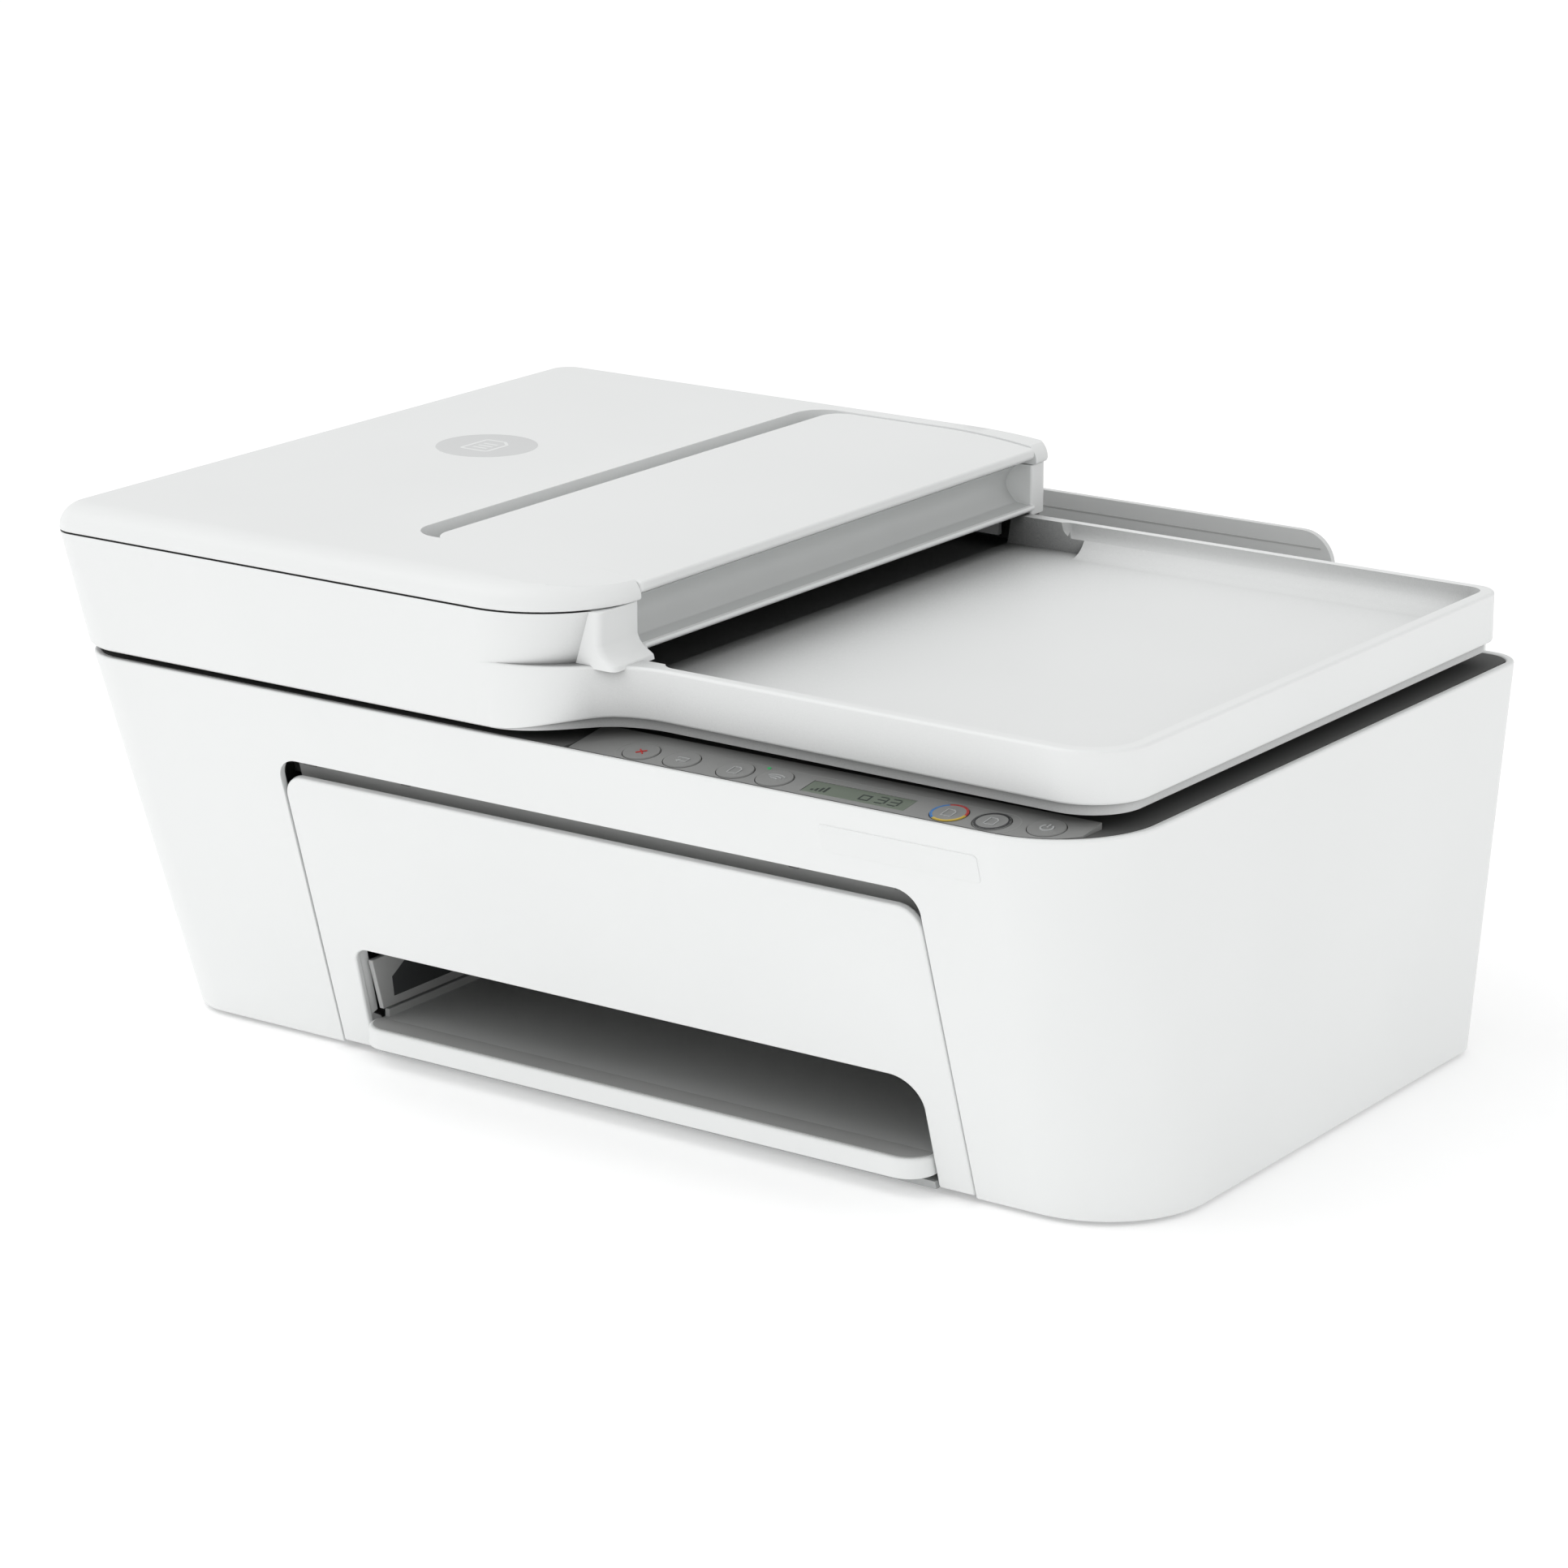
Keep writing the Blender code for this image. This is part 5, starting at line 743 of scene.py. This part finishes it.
def cover_pieces():
    low, top = FEEDER_SEAM_Z, FEEDER_TOP_Z - 0.0001
    rings = [
        (0.0010, 0.0010, low, low), (0.0003, 0.0003, low + 0.0004, COVER_Z), (0.0, 0.0, COVER_Z, COVER_Z),
    ]
    for i in range(1, 11):
        turn = pi / 2 * i / 10
        inset, ends = 0.0110 * (1 - cos(turn)), 0.0055 * (1 - cos(turn))
        rings.append((inset, ends, top - (top - COVER_Z) * (1 - sin(turn)), COVER_Z))
    crown = loft([(feeder_outline(plan, inset, ends), z) for inset, ends, z, plan in rings])
    left = FLAP_LEFT_X - FLAP_SLOT
    piece("cover_top", crown, WHITE, "feeder_cover",
          keeps=[along_y(top_profile(-0.0001), -0.3, 0.3)],
          cuts=[
              prism(filleted([
                  (left, FLAP_FRONT_Y - RUNNING, 0.012), (0.1, FLAP_FRONT_Y - RUNNING, 0),
                  (0.1, FLAP_BACK_Y + RUNNING, 0), (left, FLAP_BACK_Y + RUNNING, 0.012),
              ]), 0.1, 0.3),
              box((-0.2076, left - 0.004), (FLAP_FRONT_Y, FLAP_BACK_Y), (0.1, low + 0.0045)),
          ],
          edge=0.0006, stands_for=["feeder_cover"], slot="white")
    outline = filleted([
        (FLAP_LEFT_X, FLAP_FRONT_Y, 0.009), (FEEDER_RIGHT_X, FLAP_FRONT_Y, 0.0015),
        (FEEDER_RIGHT_X, FLAP_BACK_Y, 0.0015), (FLAP_LEFT_X, FLAP_BACK_Y, 0.009),
    ], 10)
    lid_top = top_profile(-0.0004)
    under = [(z - FLAP_THICKNESS, x) for z, x in lid_top[1:-1]]
    piece("flap_panel", prism(outline, 0.18, 0.22), WHITE, "document_flap",
          keeps=[along_y(lid_top, -0.3, 0.3)],
          cuts=[
              along_y([(0.10, -0.25), *under, (0.10, under[-1][1])], -0.3, 0.3),
              along_y([(FLAP_AXIS_Z - 0.0010, FEEDER_RIGHT_X + 0.001), (FLAP_AXIS_Z - 0.0037, FLAP_AXIS_X),
                       (0.18, FLAP_AXIS_X), (0.18, FEEDER_RIGHT_X + 0.001)], -0.3, 0.3),
          ],
          edge=0.0008, segments=4, stands_for=["document_flap"], slot="white")
    sign = Matrix.Translation((SIGN_X, SIGN_Y, 0))
    piece("cover_sign", prism(disc((0, 0), SIGN_RADIUS, 64), 0.1990, 0.19995), SILVER, "feeder_cover", edge=0,
          frame=sign, slot="light_grey")
    page = filleted([
        (-0.0060, -0.0080, 0.0012), (0.0060, -0.0080, 0.0012), (0.0060, 0.0045, 0.0005),
        (0.0025, 0.0080, 0.0005), (-0.0060, 0.0080, 0.0012),
    ], 5)
    lines = [([(-0.0032, y), (0.0032, y)], False) for y in (-0.0040, -0.0008, 0.0024)]
    drawn = strips([(page, True), *lines], 0.0012, 0.1991, 0.19998)
    piece("cover_page_sign", drawn, WHITE, "feeder_cover", edge=0, frame=sign, slot="white")


# ---------------------------------------------------------------- panel, keys and display
def panel_pieces():
    corners = panel_outline(0.0)
    shape = loft([
        (corners, PANEL_FRONT_Z - PANEL_THICKNESS),
        (corners, lambda p: PANEL_FRONT_Z + (p[1] - PANEL_FRONT_Y) * tan(PANEL_TILT)),
    ])
    x, y, seam = LCD_WIDTH / 2, LCD_DEPTH / 2, 0.0002
    holes = [
        prism(disc((x, setback(name)), BUTTON_RADIUS + BUTTON_CLEARANCE), -0.02, 0.02)
        for name, x in BUTTON_X.items()
    ]
    holes.append(box((LCD_X - x - seam, LCD_X + x + seam), (-y - seam, y + seam), (-0.02, 0.02)))
    piece("panel_face", shape, GREY, "body", cuts=[moved(hole, PANEL_FACE) for hole in holes], edge=0.0002,
          segments=2, stands_for=["control_panel"], slot="grey")
    pill = filleted([
        (0.0185, -0.0078, 0.0077), (0.1760, -0.0078, 0.0077),
        (0.1760, 0.0078, 0.0077), (0.0185, 0.0078, 0.0077),
    ], 12)
    piece("panel_outline_print", strips([(pill, True)], 0.0005, -0.0001, 0.00005), EDGE, "body", edge=0,
          frame=PANEL_FACE, slot="light_grey")
    piece("status_lamp", prism(disc((0.0754, 0.0062), 0.0007, 20), -0.0001, 0.0002), GREEN, "body", edge=0,
          frame=PANEL_FACE, slot="grey")
    glass = box((LCD_X - x, LCD_X + x), (-y, y), (-0.0015, -0.0001))
    piece("display_glass", glass, SCREEN, "body", edge=0.0001, frame=PANEL_FACE, stands_for=["lcd_window"],
          slot="display")
    marks = [box((LCD_X + a, LCD_X + b), (c, d), (-0.0002, -0.00006)) for a, b, c, d in display_marks()]
    piece("display_marks", joined(*marks), SEGMENT, "body", edge=0, frame=PANEL_FACE, slot="black")


def display_marks():
    """Rectangles (left, right, low, high) on the display: a paper sign, bars and two digit shapes."""
    marks = [
        (0.0010, 0.0050, -0.0026, -0.0020), (0.0010, 0.0050, 0.0008, 0.0014),
        (0.0010, 0.0016, -0.0020, 0.0008), (0.0044, 0.0050, -0.0020, 0.0008),
    ]
    for x in (0.0075, 0.0125):
        marks += [
            (x, x + 0.0030, 0.0019, 0.0025), (x, x + 0.0030, -0.0003, 0.0003),
            (x, x + 0.0030, -0.0026, -0.0020), (x + 0.0031, x + 0.0037, -0.0020, 0.0019),
        ]
    marks += [(-0.0175 + 0.0016 * i, -0.0166 + 0.0016 * i, -0.0026, -0.0014 + 0.0010 * i) for i in range(4)]
    return marks


def setback(name):
    return 0.003 if name == "power_button" else 0.0


def key_signs():
    """Printed signs: for each key, a list of (suffix, colour, slot, paths, line width)."""
    ring = disc((0, 0), 0.0058, 40)
    cross = [([(-0.0014, -0.0014), (0.0014, 0.0014)], False), ([(-0.0014, 0.0014), (0.0014, -0.0014)], False)]
    page = [(-0.0018, -0.0024), (0.0018, -0.0024), (0.0018, 0.0012), (0.0006, 0.0024), (-0.0018, 0.0024)]
    sheet = [(page, True)]
    back_arrow = [
        ([(-0.0020, 0.0004), (-0.0020, 0.0014), (0.0022, 0.0014), (0.0022, -0.0012),
          (-0.0012, -0.0012)], False),
        ([(-0.0004, -0.0022), (-0.0016, -0.0012), (-0.0004, -0.0002)], False),
    ]
    power = [
        (arc((0, 0), 0.0021, radians(125), radians(415), 20), False),
        ([(0, 0.0004), (0, 0.0027)], False),
    ]
    waves = [(arc((0, -0.0020), r, radians(45), radians(135), 10), False) for r in (0.0018, 0.0032, 0.0046)]
    third = 2 * pi / 3
    return {
        "cancel_button": [("sign", RED, "black", cross, 0.0005)],
        "resume_button": [("sign", PRINT_WHITE, "white", back_arrow, 0.0004)],
        "info_button": [("sign", PRINT_WHITE, "white", sheet, 0.0004)],
        "wireless_button": [("sign", PRINT_WHITE, "white", waves, 0.0005)],
        "colour_copy_button": [
            ("sign", PRINT_WHITE, "white", sheet, 0.0004),
            ("blue", BLUE, "cyan", [(arc((0, 0), 0.0060, third, third * 2, 16), False)], 0.0008),
            ("red", RED, "black", [(arc((0, 0), 0.0060, 0, third, 16), False)], 0.0008),
            ("yellow", YELLOW, "white", [(arc((0, 0), 0.0060, third * 2, third * 3, 16), False)], 0.0008)],
        "black_copy_button": [
            ("sign", PRINT_WHITE, "white", sheet, 0.0004),
            ("ring", INK, "black", [(ring, True)], 0.0010)],
        "power_button": [("sign", PRINT_WHITE, "white", power, 0.0006)],
    }


def key_pieces():
    signs = key_signs()
    for name, x in BUTTON_X.items():
        place = PANEL_FACE @ Matrix.Translation((x, setback(name), 0))
        rings = [
            (BUTTON_RADIUS, -0.0026), (BUTTON_RADIUS, 0.0001), (BUTTON_RADIUS - 0.0001, 0.00025),
            (BUTTON_RADIUS - 0.0004, 0.00035), (BUTTON_RADIUS - 0.0012, 0.0003), (0.0030, 0.0001),
        ]
        shape = loft([(disc((0, 0), radius), z) for radius, z in rings])
        piece(f"{name}_cap", shape, GREY, name, edge=0, frame=place, stands_for=[name], slot="grey")
        rim = [(disc((0, 0), BUTTON_RADIUS - 0.0003, 48), True)]
        piece(f"{name}_rim", strips(rim, 0.0002, 0.0002, SIGN_TOP), EDGE, name, edge=0, frame=place,
              slot="light_grey")
        for suffix, colour, slot, paths, width in signs[name]:
            sign = strips(paths, width, 0.00005, SIGN_TOP)
            piece(f"{name}_{suffix}", sign, colour, name, edge=0, frame=place, slot=slot)


# ---------------------------------------------------------------- rear
def rear_pieces():
    front, back, low, high = 0.1585, 0.1610, 0.1095, 0.1706
    half, radius = 0.117, 0.013
    outline = filleted([(-half, low, 0), (half, low, 0), (half, high, radius), (-half, high, radius)], 12)
    rails = [
        box(ends, (back - 0.0005, 0.1632), (0.1226, 0.1586))
        for ends in ((-0.0795, -0.0755), (0.0755, 0.0795))
    ]
    pins = along_x(disc((0.15975, 0.1125), PIN_RADIUS, 24), -0.121, 0.121)
    plate = moved(prism(outline, -back, -front), UPRIGHT)
    piece("rear_plate", plate, REAR, "rear_tray", fuses=[*rails, pins], edge=0.0005,
          stands_for=["rear_tray"], slot="light_grey")
    line = box((0.005 - half, half - 0.005), (front - 0.0001, front + 0.0005), (0.1640, 0.1646))
    piece("rear_plate_line", line, LINER, "rear_tray", edge=0, slot="grey")


# ---------------------------------------------------------------- CAD nodes that stay: finish and soft edges
FINISH = {
    "top_deck": DECK, "base_pan": LIGHT, "lid_base": DECK, "rear_housing": WHITE,
    "tray_extender": REAR, "paper_guide_left": DECK, "paper_guide_right": DECK,
    "document_guide_front": LIGHT, "document_guide_back": LIGHT, "latch_colour": LIGHT,
    "latch_black": LIGHT, "scanner_bed": RECESS, "platen": DARK, "service_station": DARK,
    "print_carriage": DARK, "power_supply": DARK, "power_inlet": BLACK, "usb_port": BLACK,
    "scan_bar": BLACK, "cartridge_black": BLACK, "motor_pinion": BLACK, "carriage_belt": BLACK,
    "feeder_pick_roller": RUBBER, "feeder_drive_roller": RUBBER, "feed_roller": RUBBER,
    "eject_roller": RUBBER, "pick_roller": RUBBER, "foot_front_left": RUBBER,
    "foot_front_right": RUBBER, "foot_back_left": RUBBER, "foot_back_right": RUBBER,
    "scan_rod": STEEL, "print_frame": STEEL, "carriage_rail": STEEL, "feed_motor": STEEL,
    "drive_pulley": STEEL, "idler_pulley": STEEL, "carriage_motor": STEEL, "scanner_glass": GLASS,
    "document_pad": FOAM, "main_board": BOARD, "cartridge_colour": CYAN,
}
NODE_WELD, NODE_EDGE, NODE_ANGLE = 1e-6, 0.0003, radians(40)
PLAIN_EDGES = ("drive_pulley", "idler_pulley", "feed_roller", "motor_pinion", "eject_roller", "pick_roller",
               "feeder_pick_roller", "feeder_drive_roller", "scan_rod", "carriage_belt", "scanner_glass")


def finish_nodes():
    for name, material in FINISH.items():
        node = NODES[name]
        node.data.materials.clear()
        node.data.materials.append(material)
        if name in PLAIN_EDGES:
            continue
        weld = node.modifiers.new("weld", "WELD")
        weld.merge_threshold = NODE_WELD
        bevel = node.modifiers.new("edges", "BEVEL")
        bevel.width = NODE_EDGE
        bevel.segments = 2
        bevel.limit_method = "ANGLE"
        bevel.angle_limit = NODE_ANGLE


# ---------------------------------------------------------------- studio
ROOM_LOW, ROOM_HIGH, FLOOR_GLOW, FLOOR_HALF = 0.70, 1.02, 0.24, 9
ROOM_BRIGHT_SIDE = (-0.66, -0.58, 0.48)
WHITE_LIGHT = (1.0, 1.0, 1.0, 1.0)
LAMPS = (
    # name, place, target, size in metres, power in watts
    ("key_light", (-0.9, -0.9, 2.4), (0.0, 0.0, 0.1), 1.8, 10.5),
    ("side_light", (2.4, 0.6, 0.9), (0.1, 0.0, 0.1), 1.4, 3.8),
)
CAMERA_PLACE, CAMERA_TILT, CAMERA_TURN = (1.00120, -1.44536, 0.61551), radians(73.45), radians(35.09)
CAMERA_LENS, CAMERA_SENSOR = 116.4, 36.0


def studio():
    span = (-FLOOR_HALF, FLOOR_HALF)
    floor = linked("studio_floor", box(span, span, (-0.002, -0.0002)), FLOOR)
    glow = FLOOR.node_tree.nodes["Principled BSDF"]
    glow.inputs["Emission Color"].default_value = WHITE_LIGHT
    glow.inputs["Emission Strength"].default_value = FLOOR_GLOW
    world = bpy.data.worlds.new("studio")
    world.use_nodes = True
    tree = world.node_tree
    room = tree.nodes["Background"]
    backdrop = tree.nodes.new("ShaderNodeBackground")
    for shader in (room, backdrop):
        shader.inputs["Color"].default_value = WHITE_LIGHT
        shader.inputs["Strength"].default_value = 1.0
    place = tree.nodes.new("ShaderNodeTexCoord")
    towards = tree.nodes.new("ShaderNodeVectorMath")
    towards.operation = "DOT_PRODUCT"
    towards.inputs[1].default_value = Vector(ROOM_BRIGHT_SIDE).normalized()
    strength = tree.nodes.new("ShaderNodeMapRange")
    strength.inputs["From Min"].default_value = -0.2
    strength.inputs["From Max"].default_value = 1.0
    strength.inputs["To Min"].default_value = ROOM_LOW
    strength.inputs["To Max"].default_value = ROOM_HIGH
    rays = tree.nodes.new("ShaderNodeLightPath")
    seen = tree.nodes.new("ShaderNodeMixShader")
    tree.links.new(place.outputs["Generated"], towards.inputs[0])
    tree.links.new(towards.outputs["Value"], strength.inputs["Value"])
    tree.links.new(strength.outputs["Result"], room.inputs["Strength"])
    tree.links.new(rays.outputs["Is Camera Ray"], seen.inputs["Fac"])
    tree.links.new(room.outputs["Background"], seen.inputs[1])
    tree.links.new(backdrop.outputs["Background"], seen.inputs[2])
    tree.links.new(seen.outputs["Shader"], tree.nodes["World Output"].inputs["Surface"])
    bpy.context.scene.world = world
    for name, place, target, size, power in LAMPS:
        lamp = bpy.data.lights.new(name, "AREA")
        lamp.energy = power
        lamp.size = size
        light = bpy.data.objects.new(name, lamp)
        light.location = place
        light.rotation_euler = (Vector(target) - Vector(place)).to_track_quat("-Z", "Y").to_euler()
        bpy.context.scene.collection.objects.link(light)
    camera = bpy.data.objects.new("camera", bpy.data.cameras.new("camera"))
    camera.location = CAMERA_PLACE
    camera.rotation_euler = (CAMERA_TILT, 0, CAMERA_TURN)
    camera.data.lens = CAMERA_LENS
    camera.data.sensor_width = CAMERA_SENSOR
    bpy.context.scene.collection.objects.link(camera)
    bpy.context.scene.camera = camera
    bpy.context.scene.view_settings.view_transform = "Standard"
    bpy.context.scene.view_settings.look = "None"
    bpy.context.scene.view_settings.exposure = 0.0


body_pieces()
door_pieces()
output_tray_pieces()
slot_pieces()
lid_pieces()
mouth_pieces()
cover_pieces()
panel_pieces()
key_pieces()
rear_pieces()
finish_nodes()
studio()
